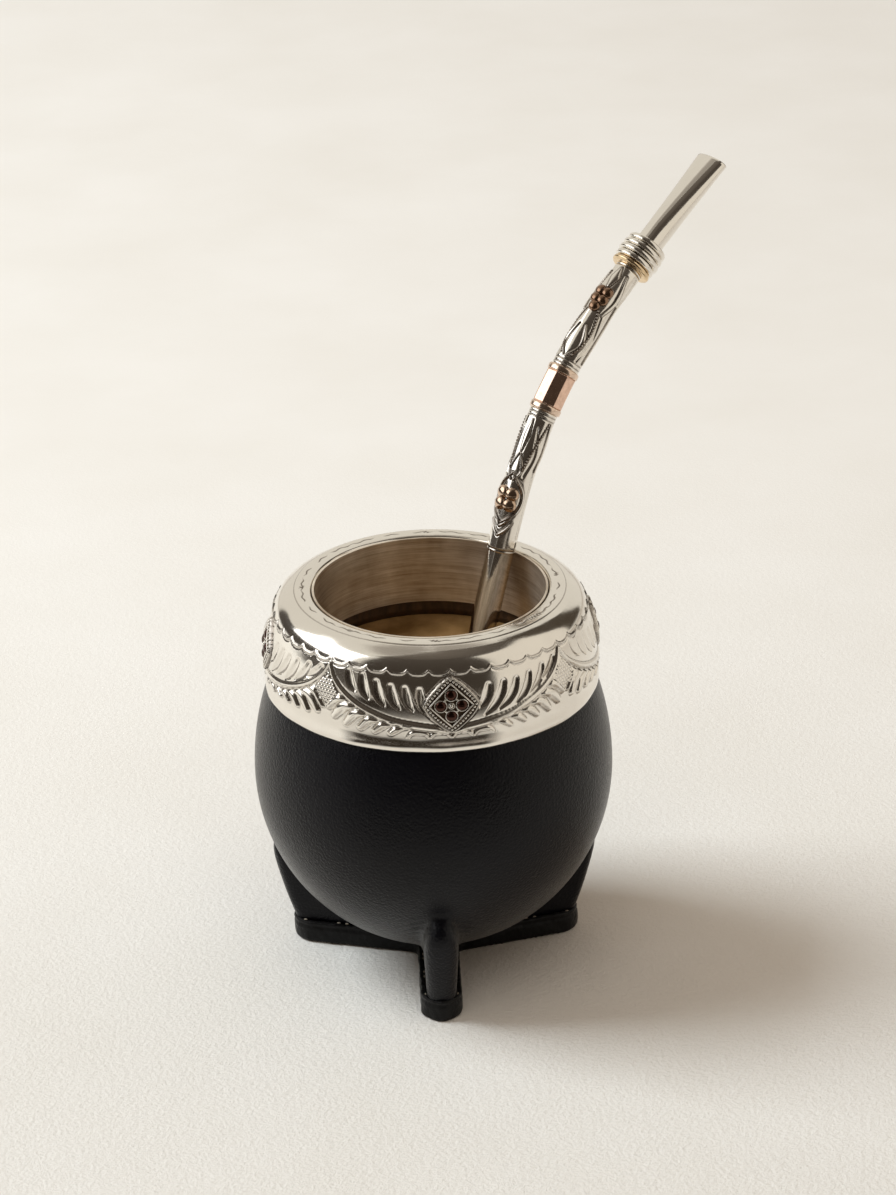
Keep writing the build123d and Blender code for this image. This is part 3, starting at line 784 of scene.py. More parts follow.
def rosette_frame(shape, azimuth):
    """The crisp square frame that stands on its corner round the four stones."""
    before = set(shape.verts)
    made = bmesh.ops.create_circle(shape, cap_ends=True, segments=4, radius=ROSETTE_FRAME)
    face = made["verts"][0].link_faces[0]
    bmesh.ops.inset_individual(shape, faces=[face], thickness=FRAME_WIDTH)
    bmesh.ops.delete(shape, geom=[face], context="FACES_ONLY")
    ring = [entry for entry in shape.faces if all(vert not in before for vert in entry.verts)]
    grown = bmesh.ops.extrude_face_region(shape, geom=ring)["geom"]
    raised = [entry for entry in grown if isinstance(entry, bmesh.types.BMVert)]
    bmesh.ops.translate(shape, verts=raised, vec=(0, 0, FRAME_RISE))
    top = [entry for entry in grown if isinstance(entry, bmesh.types.BMEdge)]
    eased = {"segments": 2, "profile": 0.5, "affect": "EDGES", "material": -1}
    bmesh.ops.bevel(shape, geom=top, offset=0.12, **eased)
    own = [edge for edge in shape.edges if all(vert not in before for vert in edge.verts)]
    sides = [edge for edge in own if edge.calc_length() > 4]
    bmesh.ops.subdivide_edges(shape, edges=sides, cuts=7, use_grid_fill=True)
    for vert in shape.verts:
        if vert not in before:
            vert.co = on_band(azimuth, vert.co.x, ROSETTE_HEIGHT + vert.co.y, 0.2 + vert.co.z)[0]


def rosette_border():
    """Places for the border's beads, evenly spaced midway between the frame and the rim."""
    turn = np.linspace(0, 2 * math.pi, 401)
    x, z = np.cos(turn), np.sin(turn)
    spread = (np.abs(x) ** ROSETTE_POWER + np.abs(z) ** ROSETTE_POWER) ** (1 / ROSETTE_POWER)
    outer = 0.93 * ROSETTE_REACH / spread
    inner = 1.03 * ROSETTE_FRAME / (np.abs(x) + np.abs(z))
    border = np.column_stack([x, z]) * ((outer + inner) / 2)[:, None]
    walked = np.concatenate([[0], np.cumsum(np.linalg.norm(np.diff(border, axis=0), axis=1))])
    stops = np.linspace(0, walked[-1], BORDER_BEADS, endpoint=False)
    return [[float(np.interp(stop, walked, border[:, axis])) for axis in (0, 1)] for stop in stops]


def build_rosette(number):
    """Frame, beads, cups and loops of one rosette. Its plate is part of the band."""
    azimuth = ROSETTE_AZIMUTH + QUARTER * number
    shape = bmesh.new()
    rosette_frame(shape, azimuth)
    for x, z in rosette_border():
        point, out = on_band(azimuth, x, ROSETTE_HEIGHT + z, 0.56)
        add_bead(shape, point, out, BORDER_BEAD_RADIUS)
    point, out = on_band(azimuth, 0, ROSETTE_HEIGHT, 0.5)
    add_collar(shape, point, out, 0.66, 0.17)
    add_bead(shape, point + out * 0.1, out, 0.44, 0.8)
    stones = bmesh.new()
    for quarter in range(4):
        turn = math.pi / 2 * quarter
        x, z = STONE_SPREAD * math.cos(turn), STONE_SPREAD * math.sin(turn)
        point, out = on_band(azimuth, x, ROSETTE_HEIGHT + z, 0.42)
        add_collar(shape, point, out, CUP_RADIUS, 0.19)
        add_bead(stones, point, out, STONE_RADIUS, 0.5)
        turn += math.pi / 4
        x, z = LOOP_SPREAD * math.cos(turn), LOOP_SPREAD * math.sin(turn)
        point, out = on_band(azimuth, x, ROSETTE_HEIGHT + z, 0.35)
        add_bead(shape, point, out, 0.3)
    bmesh.ops.recalc_face_normals(shape, faces=shape.faces)
    name = f"rosette_{number + 1}"
    metal_nodes = [f"{name}_plaque", f"{name}_bead"]
    stone_nodes = [f"{name}_stone_{stone + 1}" for stone in range(4)]
    finish_piece(f"{name}_fittings", shape, PLAIN_SILVER, metal_nodes)
    finish_piece(f"{name}_stones", stones, DARK_STONE, stone_nodes)


# --- leather body, legs and sole -----------------------------------------------------------------

LEG_AZIMUTHS = (0.0, -106.0, 106.0)
BELLY_HEIGHT = 54.0
LOWER_CURVE = 48.1
UPPER_CURVE = 68.8
# Reach of a leg's outer edge, and half its width, each with the height.
LEG_EDGE = (
    (36.9, 4.4), (37.6, 6.2), (39.6, 11.7), (41.3, 17.4), (42.6, 22.5), (43.0, 25.5), (42.3, 28.0),
    (40.4, 30.6), (37.5, 34.0),
)
LEG_HALF_WIDTHS = (
    (3.75, 4.4), (3.85, 8.0), (4.1, 14.0), (4.4, 19.0), (4.4, 23.0), (3.6, 26.5), (2.4, 29.5),
    (1.5, 34.0),
)
COVER_BOTTOM = 6.0
COVER_TOP = 78.6
DIMPLE_HEIGHT = 30.4
PUCKER_HEIGHT = 25.5
COVER_VOXEL = 0.62
SOLE_VOXEL = 0.42


def body_radius(height):
    curve = UPPER_CURVE if height > BELLY_HEIGHT else LOWER_CURVE
    return BELLY_RADIUS - curve + math.sqrt(curve**2 - (height - BELLY_HEIGHT) ** 2)


def leg_solid(azimuth):
    """One leg: slot-shaped slices stacked from the sole up into the body."""
    edge = flowing_line(LEG_EDGE, 200)
    widths = np.array(LEG_HALF_WIDTHS)
    shape = bmesh.new()
    heights = np.linspace(LEG_EDGE[0][1], LEG_EDGE[-1][1], 26)
    rings = []
    for height in heights:
        reach = float(np.interp(height, edge[:, 1], edge[:, 0]))
        half = float(np.interp(height, widths[:, 1], widths[:, 0]))
        made = bmesh.ops.create_circle(shape, cap_ends=False, segments=32, radius=half)
        for vert in made["verts"]:
            flat = 0.8 if vert.co.y < 0 else 1.0
            shift = -(reach - half * flat) if vert.co.y < 0 else -8.0
            vert.co.y = vert.co.y * flat + shift
            vert.co.z = height
        rings.append([edge for edge in shape.edges if edge.verts[0] in made["verts"]])
    for lower, upper in zip(rings, rings[1:]):
        bmesh.ops.bridge_loops(shape, edges=lower + upper)
    bmesh.ops.holes_fill(shape, edges=rings[0], sides=0)
    bmesh.ops.holes_fill(shape, edges=rings[-1], sides=0)
    spin = Matrix.Rotation(math.radians(azimuth), 3, "Z")
    bmesh.ops.rotate(shape, verts=shape.verts, cent=(0, 0, 0), matrix=spin)
    bmesh.ops.recalc_face_normals(shape, faces=shape.faces)
    return shape


def one_skin(piece, voxel, rounds):
    """The mesh of a piece remeshed as one skin and softened. The piece itself is removed."""
    remesh = piece.modifiers.new("skin", "REMESH")
    remesh.mode = "VOXEL"
    remesh.voxel_size = voxel
    soften = piece.modifiers.new("soften", "SMOOTH")
    soften.factor = 0.5
    soften.iterations = rounds
    bpy.context.view_layer.update()
    graph = bpy.context.evaluated_depsgraph_get()
    mesh = bpy.data.meshes.new_from_object(piece.evaluated_get(graph))
    bpy.data.objects.remove(piece)
    return mesh


def build_leather():
    """The leather drawn over the gourd and down its three legs, as one skin."""
    heights = np.linspace(COVER_BOTTOM + 0.05, COVER_TOP, 60)
    wall = [(body_radius(height), height) for height in heights]
    outline = [(0.0, COVER_BOTTOM)] + wall + [(0.0, COVER_TOP)]
    body = new_object("cover_body", as_mesh("cover_body", turned(outline, 160)))
    legs = []
    for number, azimuth in enumerate(LEG_AZIMUTHS):
        leg = new_object(f"cover_leg_{number}", as_mesh("cover_leg", leg_solid(azimuth)))
        union = body.modifiers.new(f"leg_{number}", "BOOLEAN")
        union.operation = "UNION"
        union.solver = "EXACT"
        union.object = leg
        legs.append(leg)
    mesh = one_skin(body, COVER_VOXEL, 30)
    for leg in legs:
        bpy.data.objects.remove(leg)
    place = read_vertices(mesh, "co")
    out = read_vertices(mesh, "normal")
    dent = np.zeros(len(place))
    for azimuth in LEG_AZIMUTHS:
        away = (azimuth_of(place) - azimuth + 180) % 360 - 180
        across = np.radians(away) * np.hypot(place[:, 0], place[:, 1])
        dent += 0.5 * ridge(across, 1.9) * ridge(place[:, 2] - DIMPLE_HEIGHT, 0.9)
        beside = ridge(np.abs(across) - 6.2, 2.2) * ridge(place[:, 2] - PUCKER_HEIGHT, 4.0)
        dent += 0.13 * beside * np.sin(2.6 * place[:, 2] + 1.5 * np.abs(across))
    place -= out * dent[:, None]
    write_vertices(mesh, place)
    replaced = ["leather_cover"] + [f"leg_{number + 1}" for number in range(len(LEG_AZIMUTHS))]
    return finish_piece("leather_cover_skin", mesh, COVER_LEATHER, replaced)


SEEN_STITCHES = (0, 1, 4, 5, 9)


def build_stitches():
    """What shows of the waxed stitches in the crease between each leg and its welt."""
    shape = bmesh.new()
    for azimuth in LEG_AZIMUTHS:
        spin = Matrix.Rotation(math.radians(azimuth), 4, "Z")
        for side in (-1, 1):
            for step in SEEN_STITCHES:
                reach = 14.0 + 2.2 * step
                place = spin @ Matrix.Translation((side * 4.0, -reach, SOLE_TOP + 1.35))
                matrix = place @ Matrix.Diagonal((0.22, 0.5, 0.22, 1))
                bmesh.ops.create_icosphere(shape, subdivisions=2, radius=1.0, matrix=matrix)
    return finish_piece("welt_stitches", shape, THREAD)


def build_sole():
    """The three-armed sole and its welt: thick cut leather, pressed and slightly uneven."""
    shape = bmesh.new()
    for node in ("sole", "welt"):
        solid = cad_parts[node]
        mesh = solid.data.copy()
        mesh.transform(Matrix.Scale(1 / MM, 4) @ solid.matrix_world)
        shape.from_mesh(mesh)
        bpy.data.meshes.remove(mesh)
    bmesh.ops.remove_doubles(shape, verts=shape.verts, dist=1e-3)
    mesh = one_skin(new_object("sole_blank", as_mesh("sole_blank", shape)), SOLE_VOXEL, 7)
    place = read_vertices(mesh, "co")
    out = read_vertices(mesh, "normal")
    upright = 1 - np.abs(out[:, 2])
    groove = ridge(place[:, 2] - SOLE_TOP - 0.1, 0.4) * upright
    points = [Vector(point) for point in place]
    broad = np.array([noise.noise(point * 0.22) for point in points])
    fine = np.array([noise.noise(point * 0.7) for point in points])
    uneven = (broad + 0.5 * fine) * (place[:, 2] > 0.4)
    place += out * (0.32 * uneven - 0.42 * groove)[:, None]
    for azimuth in LEG_AZIMUTHS:
        turn = math.radians(azimuth)
        ahead = np.array((math.sin(turn), -math.cos(turn)))
        aside = np.array((math.cos(turn), math.sin(turn)))
        reach, across = place[:, :2] @ ahead, place[:, :2] @ aside
        tip = np.clip((reach - 32.5) / 5.5, 0, 1) ** 2
        place[:, :2] -= aside * (0.32 * across * tip)[:, None]
    write_vertices(mesh, place)
    return finish_piece("sole_and_welt", mesh, SOLE_LEATHER, ["sole", "welt"])


# --- bombilla ------------------------------------------------------------------------------------

STRAW_AZIMUTH = 129.7
STRAW_OFFSET = 1.6
STRAW_LEAN = math.radians(18.0)
STRAW_BEND = math.radians(35.2)
STRAW_BEND_RADIUS = 109.0
STRAW_FOOT_HEIGHT = 16.1
STRAW_BEND_HEIGHT = 109.3
STRAW_RIM_REACH = 24.8
CHASED_START = 91.6
COPPER_START = 128.3
COPPER_BAND = 1.7
COPPER_LENGTH = 8.4
COPPER_END = COPPER_START + 2 * COPPER_BAND + COPPER_LENGTH
COLLAR_START = 170.2
COLLAR_GOLD = 1.4
COLLAR_RING = 1.75
COLLAR_RADII = (5.45, 5.7, 5.6, 5.35)
STRAW_LENGTH = 206.4
BEND_START = (STRAW_BEND_HEIGHT - STRAW_FOOT_HEIGHT) / math.cos(STRAW_LEAN)
STEM_RADIUS = 3.45
CHASED_RADIUS = 3.6


def straw_place(station, turn, radius):
    """Points round the straw at stations along it; a turn of 90 degrees faces outside the bend."""
    heading = math.radians(STRAW_AZIMUTH)
    reach_way = np.array((math.sin(heading), -math.cos(heading), 0))
    side_way = np.array((-reach_way[1], reach_way[0], 0))
    straight = np.minimum(station, BEND_START)
    foot = STRAW_RIM_REACH - (RIM_HEIGHT - STRAW_FOOT_HEIGHT) * math.tan(STRAW_LEAN)
    bent = np.clip((station - BEND_START) / STRAW_BEND_RADIUS, 0, STRAW_BEND)
    lean = STRAW_LEAN + bent
    past = np.maximum(station - BEND_START - STRAW_BEND_RADIUS * STRAW_BEND, 0)
    reach = foot + math.sin(STRAW_LEAN) * straight + past * np.sin(lean)
    reach = reach + STRAW_BEND_RADIUS * (math.cos(STRAW_LEAN) - np.cos(lean))
    height = STRAW_FOOT_HEIGHT + math.cos(STRAW_LEAN) * straight + past * np.cos(lean)
    height = height + STRAW_BEND_RADIUS * (np.sin(lean) - math.sin(STRAW_LEAN))
    outside_reach = -np.cos(lean)
    outside_height = np.sin(lean)
    sideways = STRAW_OFFSET + radius * np.cos(turn)
    reach = reach + radius * np.sin(turn) * outside_reach
    height = height + radius * np.sin(turn) * outside_height
    place = reach[:, None] * reach_way + sideways[:, None] * side_way
    place[:, 2] = height
    return place


def straw_skin(name, stations, columns, radius_at, material, replaced=(), chase=None):
    """A closed skin round the straw: a grid rolled up about its centre line.

    stations lists a place along the straw for each row, and radius_at(row share, turn) its radius.
    """
    rows = len(stations)
    shape = bmesh.new()
    bmesh.ops.create_grid(shape, x_segments=columns, y_segments=rows - 1, size=0.5)
    mesh = as_mesh(name, shape)
    flat = read_vertices(mesh, "co")
    turn = (flat[:, 0] + 0.5) * 2 * math.pi
    row = (flat[:, 1] + 0.5) * (rows - 1)
    station = np.interp(row, np.arange(rows), stations)
    radius = radius_at(row, turn)
    tarnish_and_shade = np.zeros(len(flat))
    if chase:
        work = chase(station, turn)
        radius = radius + work.height()
        tarnish_and_shade = work.tarnish_and_shade
    place = straw_place(station, turn, radius)
    write_vertices(mesh, place)
    mark_points(mesh, "tarnish_and_shade", tarnish_and_shade)
    rolled = bmesh.new()
    rolled.from_mesh(mesh)
    bmesh.ops.remove_doubles(rolled, verts=rolled.verts, dist=1e-3)
    bmesh.ops.recalc_face_normals(rolled, faces=rolled.faces)
    rolled.to_mesh(mesh)
    rolled.free()
    return finish_piece(name, mesh, material, replaced)


def ring_profile(start, end, bore, radius, power, rows=14):
    """Stations and radii round a ring's section, from its bore over the outside and back."""
    angles = np.linspace(-math.pi / 2, math.pi / 2, rows)
    middle = (start + end) / 2
    half = (end - start) / 2
    along = np.sign(np.sin(angles)) * np.abs(np.sin(angles)) ** (2 / power) * half + middle
    out = bore + (radius - bore) * np.abs(np.cos(angles)) ** (2 / power)
    return np.concatenate([[start], along, [end]]), np.concatenate([[bore], out, [bore]])


def straw_ring(name, start, length, radius, material, node, power=3.2):
    """A ring round the straw; its section is squarer the higher the power."""
    stations, radii = ring_profile(start, start + length, STEM_RADIUS + 0.05, radius, power)
    rows = np.arange(len(stations))
    return straw_skin(
        f"straw_{name}",
        stations,
        72,
        lambda row, turn: np.interp(row, rows, radii),
        material,
        [f"straw_{node}"],
    )


# Each stroke on the straw: points across from its front line and along it, half widths, height and
# how wide its dark outline is. All are repeated on the other side of the front line.
LOWER_STROKES = (
    (((0, 96.0), (1.6, 97.5), (3.0, 99.6)), (0.32, 0.36, 0.2), 0.32, 0.22),
    (((0, 98.4), (1.6, 99.9), (3.0, 102.0)), (0.32, 0.36, 0.2), 0.32, 0.22),
    (((0.4, 110.2), (1.7, 112.6), (0.3, 116.6)), (0.3, 0.42, 0.2), 0.32, 0.25),
    (((0.2, 99.4), (3.6, 102.8), (3.9, 107.2), (0.2, 111.6)), (0.25, 0.5, 0.5, 0.25), 0.5, 0.3),
    (((2.6, 111.5), (3.6, 117.0), (2.0, 124.0)), (0.5, 0.75, 0.25), -0.3, 0.25),
    (((5.6, 96.0), (6.4, 104.0), (5.2, 113.0)), (0.5, 0.8, 0.3), -0.3, 0.25),
    (((5.4, 113.5), (6.6, 119.0), (5.0, 125.5)), (0.4, 0.8, 0.3), 0.35, 0.25),
    (((8.2, 97.0), (8.0, 110.0), (8.4, 124.0)), (0.35, 0.5, 0.35), -0.22, 0.25),
    (((0, 117.4), (0, 121.0), (0, 125.4)), (0.3, 0.85, 0.25), 0.35, 0.25),
)
UPPER_STROKES = (
    (((0, 162.8), (0, 165.2), (0, 168.6)), (0.5, 1.25, 0.3), 0.4, 0.3),
    (((0.5, 143.0), (2.6, 146.5), (1.0, 151.5)), (0.25, 0.7, 0.25), 0.35, 0.25),
    (((3.4, 142.5), (4.6, 148.0), (3.2, 155.0)), (0.4, 0.75, 0.3), -0.3, 0.25),
    (((3.0, 155.5), (4.2, 160.5), (2.6, 167.0)), (0.35, 0.7, 0.3), 0.35, 0.25),
    (((5.9, 143.0), (6.6, 151.0), (5.4, 159.5)), (0.4, 0.75, 0.3), 0.33, 0.25),
    (((5.6, 160.0), (6.4, 164.0), (5.2, 168.6)), (0.35, 0.65, 0.3), -0.28, 0.25),
    (((8.2, 143.0), (8.0, 156.0), (8.4, 168.0)), (0.35, 0.5, 0.35), -0.22, 0.25),
)
FRONT_LINE = math.radians(105)
BEADS = 17
BEAD_RUN = 12.5


def chase_straw(station, turn, strokes, bead_start, bead_across, hatches, grooves):
    """Leaves, bead rows, hatching at the back and grooves round the ends of a chased length."""
    across = (turn - FRONT_LINE + math.pi) % (2 * math.pi) - math.pi
    work = Chasing(across * CHASED_RADIUS, station)
    for side in (-1, 1):
        for points, widths, height, outline in strokes:
            line = [(side * x, along) for x, along in points]
            work.stroke(line, widths, height, outline=outline)
        for share in np.linspace(0, 1, BEADS):
            bead = [(side * bead_across(share), bead_start + BEAD_RUN * share)]
            work.stroke(bead, (0.34,), 0.32, outline=0.2, dark=0.95)
        for low, middle, high in hatches:
            line = ((side * 8.8, low), (side * 10.0, middle), (side * 10.9, high))
            work.stroke(line, (0.3, 0.5, 0.2), 0.28, outline=0.22)
    for groove in grooves:
        line = ridge(station - groove, 0.22)
        work.cut = np.minimum(work.cut, -0.14 * line)
        work.tarnish_and_shade = np.maximum(work.tarnish_and_shade, 0.7 * line)
    return work


def chase_lower(station, turn):
    """The straw below the copper sleeve, with chevrons and petals round its stones."""
    lows = [97.0 + 4.6 * number for number in range(6)]
    hatches = [(low, low + 1.6, low + 4.0) for low in lows]
    grooves = (CHASED_START + 0.7, COPPER_START - 0.9, COPPER_START - 1.9)

    def bead_across(share):
        return 1.9 + 2.6 * share

    return chase_straw(station, turn, LOWER_STROKES, 113.0, bead_across, hatches, grooves)


def chase_upper(station, turn):
    """The straw between the copper sleeve and the collar."""
    lows = [143.0 + 4.8 * number for number in range(5)]
    hatches = [(low, low + 1.7, low + 4.2) for low in lows]
    grooves = (COPPER_END + 0.8, COPPER_END + 1.8, COLLAR_START - 0.7)

    def bead_across(share):
        return 1.6 + 1.6 * math.sin(math.pi * share)

    return chase_straw(station, turn, UPPER_STROKES, 143.5, bead_across, hatches, grooves)


def chased_length(where, start, end, chase, node):
    """A chased length of tube, stepped up a little from the plain stem at its ends."""
    between = np.linspace(start + 0.05, end - 0.05, 236)
    stations = np.concatenate([[start, start], between, [end, end]])
    rows = np.arange(len(stations))
    inset = np.clip(np.minimum(rows - 1, len(rows) - 2 - rows) / 3, 0, 1)
    stepped = STEM_RADIUS + (CHASED_RADIUS - STEM_RADIUS) * inset
    radii = np.where((rows == 0) | (rows == rows[-1]), STEM_RADIUS - 0.4, stepped)
    return straw_skin(
        f"straw_chased_{where}",
        stations,
        150,
        lambda row, turn: np.interp(row, rows, radii),
        CHASED_SILVER,
        [node],
        chase,
    )


COPPER_SIDES = 8
COPPER_FLAT = 3.72
COPPER_CORNER = 3.97


def copper_sleeve():
    """The copper sleeve: eight flats with eased edges between two thin bands."""
    start = COPPER_START + COPPER_BAND
    end = start + COPPER_LENGTH
    stations = np.concatenate([[start], np.linspace(start, end, 24), [end]])
    rows = np.arange(len(stations))

    def radius_at(row, turn):
        corner = math.pi / COPPER_SIDES
        away = (turn + corner) % (2 * corner) - corner
        flat = np.minimum(COPPER_FLAT / np.cos(away), COPPER_CORNER)
        return flat * np.interp(row, rows, np.concatenate([[0.8], np.ones(len(rows) - 2), [0.8]]))

    return straw_skin(
        "straw_copper_flats", stations, 192, radius_at, COPPER, ["straw_copper_sleeve"]
    )


NECK_LENGTH = 12.0
BORE_DEPTH = 22.0
MOUTH_WALL = 0.65
MOUTH_WIDE = 4.8
MOUTH_THICK = 2.4


def mouthpiece():
    """The mouthpiece: a round neck that flattens and widens to an open oval tip."""
    neck_end = COLLAR_START + NECK_LENGTH
    outer = np.linspace(COLLAR_START, STRAW_LENGTH, 60)
    inner = np.linspace(STRAW_LENGTH, STRAW_LENGTH - BORE_DEPTH, 30)
    stations = np.concatenate([outer, [STRAW_LENGTH + 0.12], inner])
    walls = np.concatenate([np.zeros(60), [0.3], np.full(30, MOUTH_WALL)])
    rows = np.arange(len(stations))

    def radius_at(row, turn):
        station = np.interp(row, rows, stations)
        wall = np.interp(row, rows, walls)
        open_up = np.clip((station - neck_end) / (STRAW_LENGTH - neck_end), 0, 1)
        ease = open_up**1.25
        wide = STEM_RADIUS + (MOUTH_WIDE - STEM_RADIUS) * ease - wall
        thick = STEM_RADIUS + (MOUTH_THICK - STEM_RADIUS) * ease - wall
        return wide * thick / np.sqrt((thick * np.cos(turn)) ** 2 + (wide * np.sin(turn)) ** 2)

    replaced = ["straw_mouthpiece"]
    return straw_skin(
        "straw_mouth_end", stations, 96, radius_at, PLAIN_SILVER, replaced
    )


def set_stones(where, station, rows, spacing, radius, flat, material):
    """Polished stones set close together on the front of the straw, in rows from the lowest up."""
    shape = bmesh.new()
    for row, count in enumerate(rows):
        for column in range(count):
            along = station + (row - (len(rows) - 1) / 2) * spacing
            turn = FRONT_LINE + (column - (count - 1) / 2) * spacing / CHASED_RADIUS
            radii = np.array([CHASED_RADIUS, CHASED_RADIUS + 1])
            low, high = straw_place(np.full(2, along), np.full(2, turn), radii)
            out = Vector(high - low).normalized()
            add_bead(shape, Vector(low) + out * 0.2, out, radius, flat)
    nodes = [f"straw_{where}_stone_{number + 1}" for number in range(sum(rows))]
    return finish_piece(f"straw_{where}_stones", shape, material, nodes)


def build_bombilla():
    paint_node("straw_stem", PLAIN_SILVER)
    chased_length("below", CHASED_START, COPPER_START, chase_lower, "straw_chased_lower")
    chased_length("above", COPPER_END, COLLAR_START, chase_upper, "straw_chased_upper")
    copper_sleeve()
    bands = (("below", "lower", COPPER_START), ("above", "upper", COPPER_END - COPPER_BAND))
    for where, part, start in bands:
        node = f"copper_band_{part}"
        straw_ring(f"copper_edge_{where}", start, COPPER_BAND, 4.05, COPPER_EDGE, node)
    straw_ring("collar_gold", COLLAR_START, COLLAR_GOLD, 5.3, GOLD, "gold_ring", power=3.0)
    for number, radius in enumerate(COLLAR_RADII):
        start = COLLAR_START + COLLAR_GOLD + COLLAR_RING * number
        node = f"collar_ring_{number + 1}"
        straw_ring(f"collar_{number + 1}", start, COLLAR_RING, radius, PLAIN_SILVER, node)
    mouthpiece()
    set_stones("lower", 105.2, (2, 2), 2.75, 1.85, 0.5, GOLD_STONE)
    set_stones("upper", 158.9, (1, 2, 2), 2.15, 1.55, 0.62, BROWN_STONE)


# --- studio --------------------------------------------------------------------------------------

# The surroundings as they are seen and mirrored, and the light they give.
CREAM_SEEN = (0.766, 0.726, 0.647)
CREAM_LIGHT = (0.40, 0.33, 0.265)
LAMP_DISTANCE = 2.6


def plaster_floor():
    """Pale plaster with a fine tooth round the cup, smoother further back."""
    finish = Finish("plaster_floor", (0.77, 0.74, 0.69), 0.9)
    tooth = finish.noise(1300, 6, 0.7)
    grit = finish.cells(700)
    cloud = finish.noise(14, 5)
    mixed = finish.sum(cloud, tooth, 0.5)
    finish.tone(mixed, 0.5, 0.95, (0.752, 0.722, 0.668), (0.79, 0.765, 0.72))
    split = finish.node("ShaderNodeSeparateXYZ")
    finish.join(finish.places.outputs["Object"], split.inputs["Vector"])
    near = finish.spread(split.outputs["Y"], -0.05, 0.35, 1.0, 0.06)
    bump = finish.node("ShaderNodeBump")
    bump.inputs["Distance"].default_value = 0.0004
    finish.join(near, bump.inputs["Strength"])
    finish.join(finish.sum(tooth, grit, 0.4), bump.inputs["Height"])
    finish.join(bump.outputs["Normal"], finish.surface.inputs["Normal"])
    finish.surface.inputs["Specular IOR Level"].default_value = 0.1
    return finish.material


def glow(name, low_colour, high_colour, strength):
    """Light of one colour at the foot of a card and another at its head, fading at its edges."""
    finish = Finish(name, low_colour, 1.0)
    finish.nodes.remove(finish.surface)
    light = finish.node("ShaderNodeEmission")
    light.inputs["Strength"].default_value = strength
    shade = finish.blend(finish.attribute("rise"), low_colour, high_colour)
    finish.join(shade, light.inputs["Color"])
    clear = finish.node("ShaderNodeBsdfTransparent")
    mix = finish.node("ShaderNodeMixShader")
    finish.join(finish.attribute("cover"), mix.inputs["Fac"])
    finish.join(clear.outputs["BSDF"], mix.inputs[1])
    finish.join(light.outputs["Emission"], mix.inputs[2])
    finish.join(mix.outputs["Shader"], finish.nodes["Material Output"].inputs["Surface"])
    return finish.material


def studio_card(name, azimuths, span, place_at, low, high=None, strength=1.0, corner=6.0, soft=3.0):
    """A curved card between two azimuths in degrees, seen in shiny surfaces and nowhere else.

    span is its extent the other way, in degrees or in centimetres.
    """
    shape = bmesh.new()
    bmesh.ops.create_grid(shape, x_segments=90, y_segments=60, size=0.5)
    mesh = as_mesh(name, shape)
    flat = read_vertices(mesh, "co")
    azimuth = azimuths[0] + (azimuths[1] - azimuths[0]) * (flat[:, 0] + 0.5)
    rise = span[0] + (span[1] - span[0]) * (flat[:, 1] + 0.5)
    corner = min(corner, (azimuths[1] - azimuths[0]) / 2, (span[1] - span[0]) / 2)
    beyond_x = np.abs(azimuth - sum(azimuths) / 2) - (azimuths[1] - azimuths[0]) / 2 + corner
    beyond_y = np.abs(rise - sum(span) / 2) - (span[1] - span[0]) / 2 + corner
    beyond = np.hypot(np.maximum(beyond_x, 0), np.maximum(beyond_y, 0)) - corner
    cover = np.clip(-beyond / soft, 0, 1)
    mesh.vertices.foreach_set("co", place_at(np.radians(azimuth), rise).ravel())
    mark_points(mesh, "rise", flat[:, 1] + 0.5)
    mark_points(mesh, "cover", cover)
    mesh.materials.append(glow(name, low, high or low, strength))
    card = new_object(name, mesh)
    card.visible_camera = False
    card.visible_diffuse = False
    card.visible_shadow = False
    card.visible_transmission = False
    card.visible_volume_scatter = False


def on_dome(distance):
    """Places a card's points on a dome round the cup's rim."""

    def place_at(azimuth, rise):
        rise = np.radians(rise)
        level = np.cos(rise) * distance
        height = np.sin(rise) * distance + RIM_HEIGHT * MM
        return np.column_stack([np.sin(azimuth) * level, -np.cos(azimuth) * level, height])

    return place_at


def on_floor(azimuth, reach):
    """Places a card's points just above the floor, at a reach in centimetres."""
    height = np.full(len(reach), 0.2)
    return np.column_stack([np.sin(azimuth) * reach, -np.cos(azimuth) * reach, height]) / 100


def area_lamp(name, azimuth, rise, size, power, colour):
    """A square lamp that looks at the cup and isn't mirrored in it."""
    lamp = bpy.data.lights.new(name, "AREA")
    lamp.shape = "SQUARE"
    lamp.size = size
    lamp.energy = power
    lamp.color = colour
    fixture = new_object(name, lamp)
    azimuth, rise = math.radians(azimuth), math.radians(rise)
    level = math.cos(rise)
    way = Vector((math.sin(azimuth) * level, -math.cos(azimuth) * level, math.sin(rise)))
    facing = way.to_track_quat("Z", "Y").to_matrix().to_4x4()
    fixture.matrix_world = Matrix.Translation(way * LAMP_DISTANCE) @ facing
    fixture.visible_glossy = False


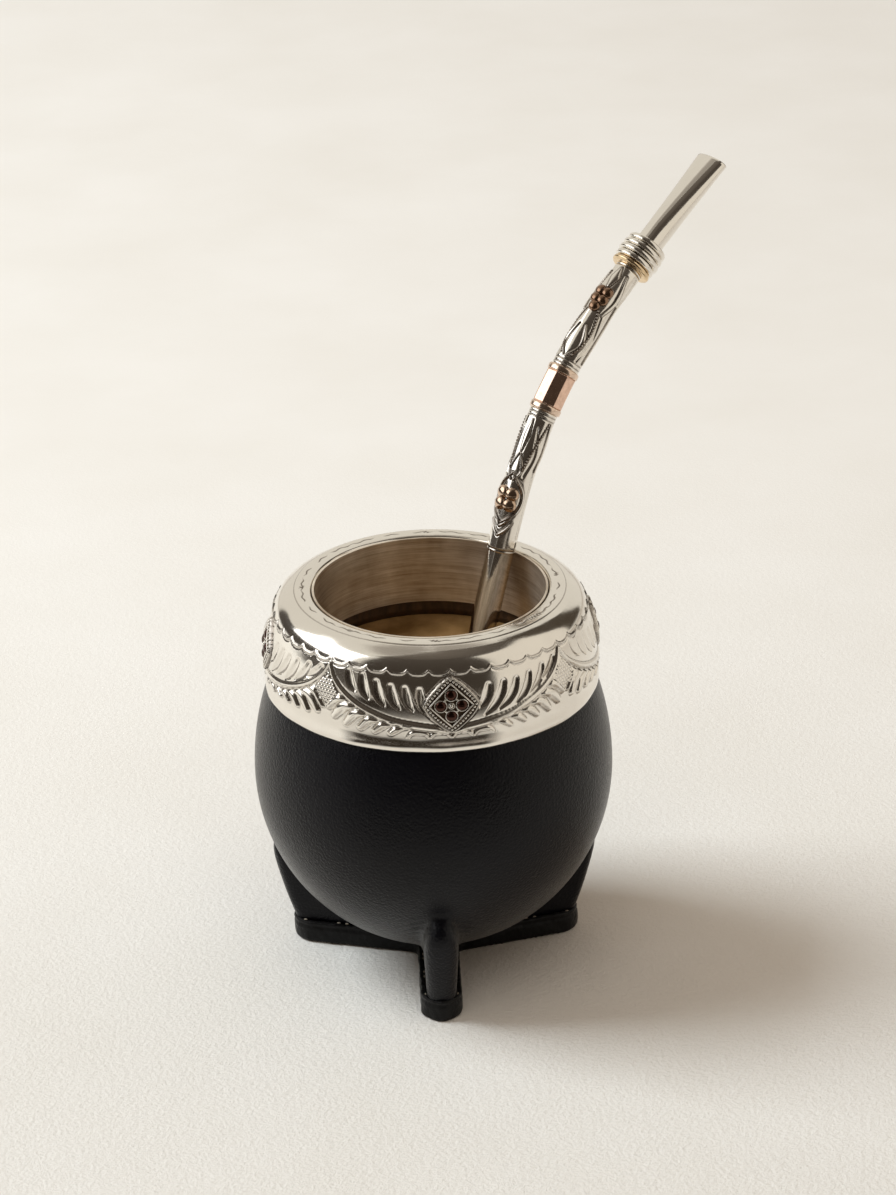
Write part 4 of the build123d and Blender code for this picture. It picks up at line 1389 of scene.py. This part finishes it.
def light_studio():
    """Cream surroundings, a large soft lamp at the left, and what the polished metal mirrors."""
    world = bpy.data.worlds.new("cream_studio")
    bpy.context.scene.world = world
    world.use_nodes = True
    nodes, links = world.node_tree.nodes, world.node_tree.links
    background = nodes["Background"]
    path = nodes.new("ShaderNodeLightPath")
    seen = nodes.new("ShaderNodeMath")
    seen.operation = "MAXIMUM"
    links.new(path.outputs["Is Camera Ray"], seen.inputs[0])
    links.new(path.outputs["Is Glossy Ray"], seen.inputs[1])
    tone = nodes.new("ShaderNodeMix")
    tone.data_type = "RGBA"
    light, seen_tone = [socket for socket in tone.inputs if socket.type == "RGBA"]
    light.default_value = (*CREAM_LIGHT, 1)
    seen_tone.default_value = (*CREAM_SEEN, 1)
    links.new(seen.outputs["Value"], tone.inputs["Factor"])
    mixed = next(socket for socket in tone.outputs if socket.type == "RGBA")
    links.new(mixed, background.inputs["Color"])
    area_lamp("key_softbox", -100, 49, 1.2, 69.5, (0.85, 0.93, 0.985))
    area_lamp("front_fill", 0, 62, 1.8, 13, (1.0, 0.96, 0.9))
    floor = bmesh.new()
    bmesh.ops.create_grid(floor, x_segments=2, y_segments=2, size=4.0)
    mesh = as_mesh("plaster_floor", floor)
    mesh.materials.append(plaster_floor())
    new_object("plaster_floor", mesh)
    dark = (0.042, 0.033, 0.025)
    dim = (0.075, 0.062, 0.05)
    grey = (0.165, 0.14, 0.115)
    pale = (0.3, 0.26, 0.22)
    studio_card("front_dark", (-54, 43), (-4, 64), on_dome(1.20), dark, dim)
    studio_card("ceiling_front", (-62, 120), (56, 90), on_dome(1.25), dim, grey)
    studio_card("ceiling_back", (-180, -62), (64, 90), on_dome(1.26), pale, grey, soft=8)
    studio_card("ceiling_right", (120, 180), (64, 90), on_dome(1.27), pale, grey, soft=8)
    soft_white = (1.0, 1.0, 0.995)
    near = on_dome(1.12)
    studio_card("left_softbox", (-121, -59), (13, 52), near, soft_white, strength=2.4, soft=1.5)
    low, high = (0.065, 0.053, 0.043), (0.1, 0.09, 0.08)
    studio_card("left_dark", (-144, -52), (-6, 22), on_dome(1.16), low, high)
    studio_card("right_panel", (42, 112), (-5, 58), near, (0.80, 0.74, 0.645), soft=1.5)
    studio_card("right_dark", (104, 138), (0, 64), on_dome(1.16), (0.07, 0.055, 0.04))
    shade = (0.032, 0.025, 0.019)
    studio_card("floor_dark", (-63, 45), (17, 122), on_floor, shade, soft=13, corner=14)


# --- everything together -------------------------------------------------------------------------

stand_camera()
light_studio()
build_band()
build_crown()
build_lip()
for rosette in range(4):
    build_rosette(rosette)
build_leather()
build_sole()
build_stitches()
build_bombilla()
paint_node("gourd_shell", GOURD)
paint_node("inner_sleeve", LINER)
paint_node("drink", DRINK)

bpy.context.scene.view_settings.view_transform = "Standard"
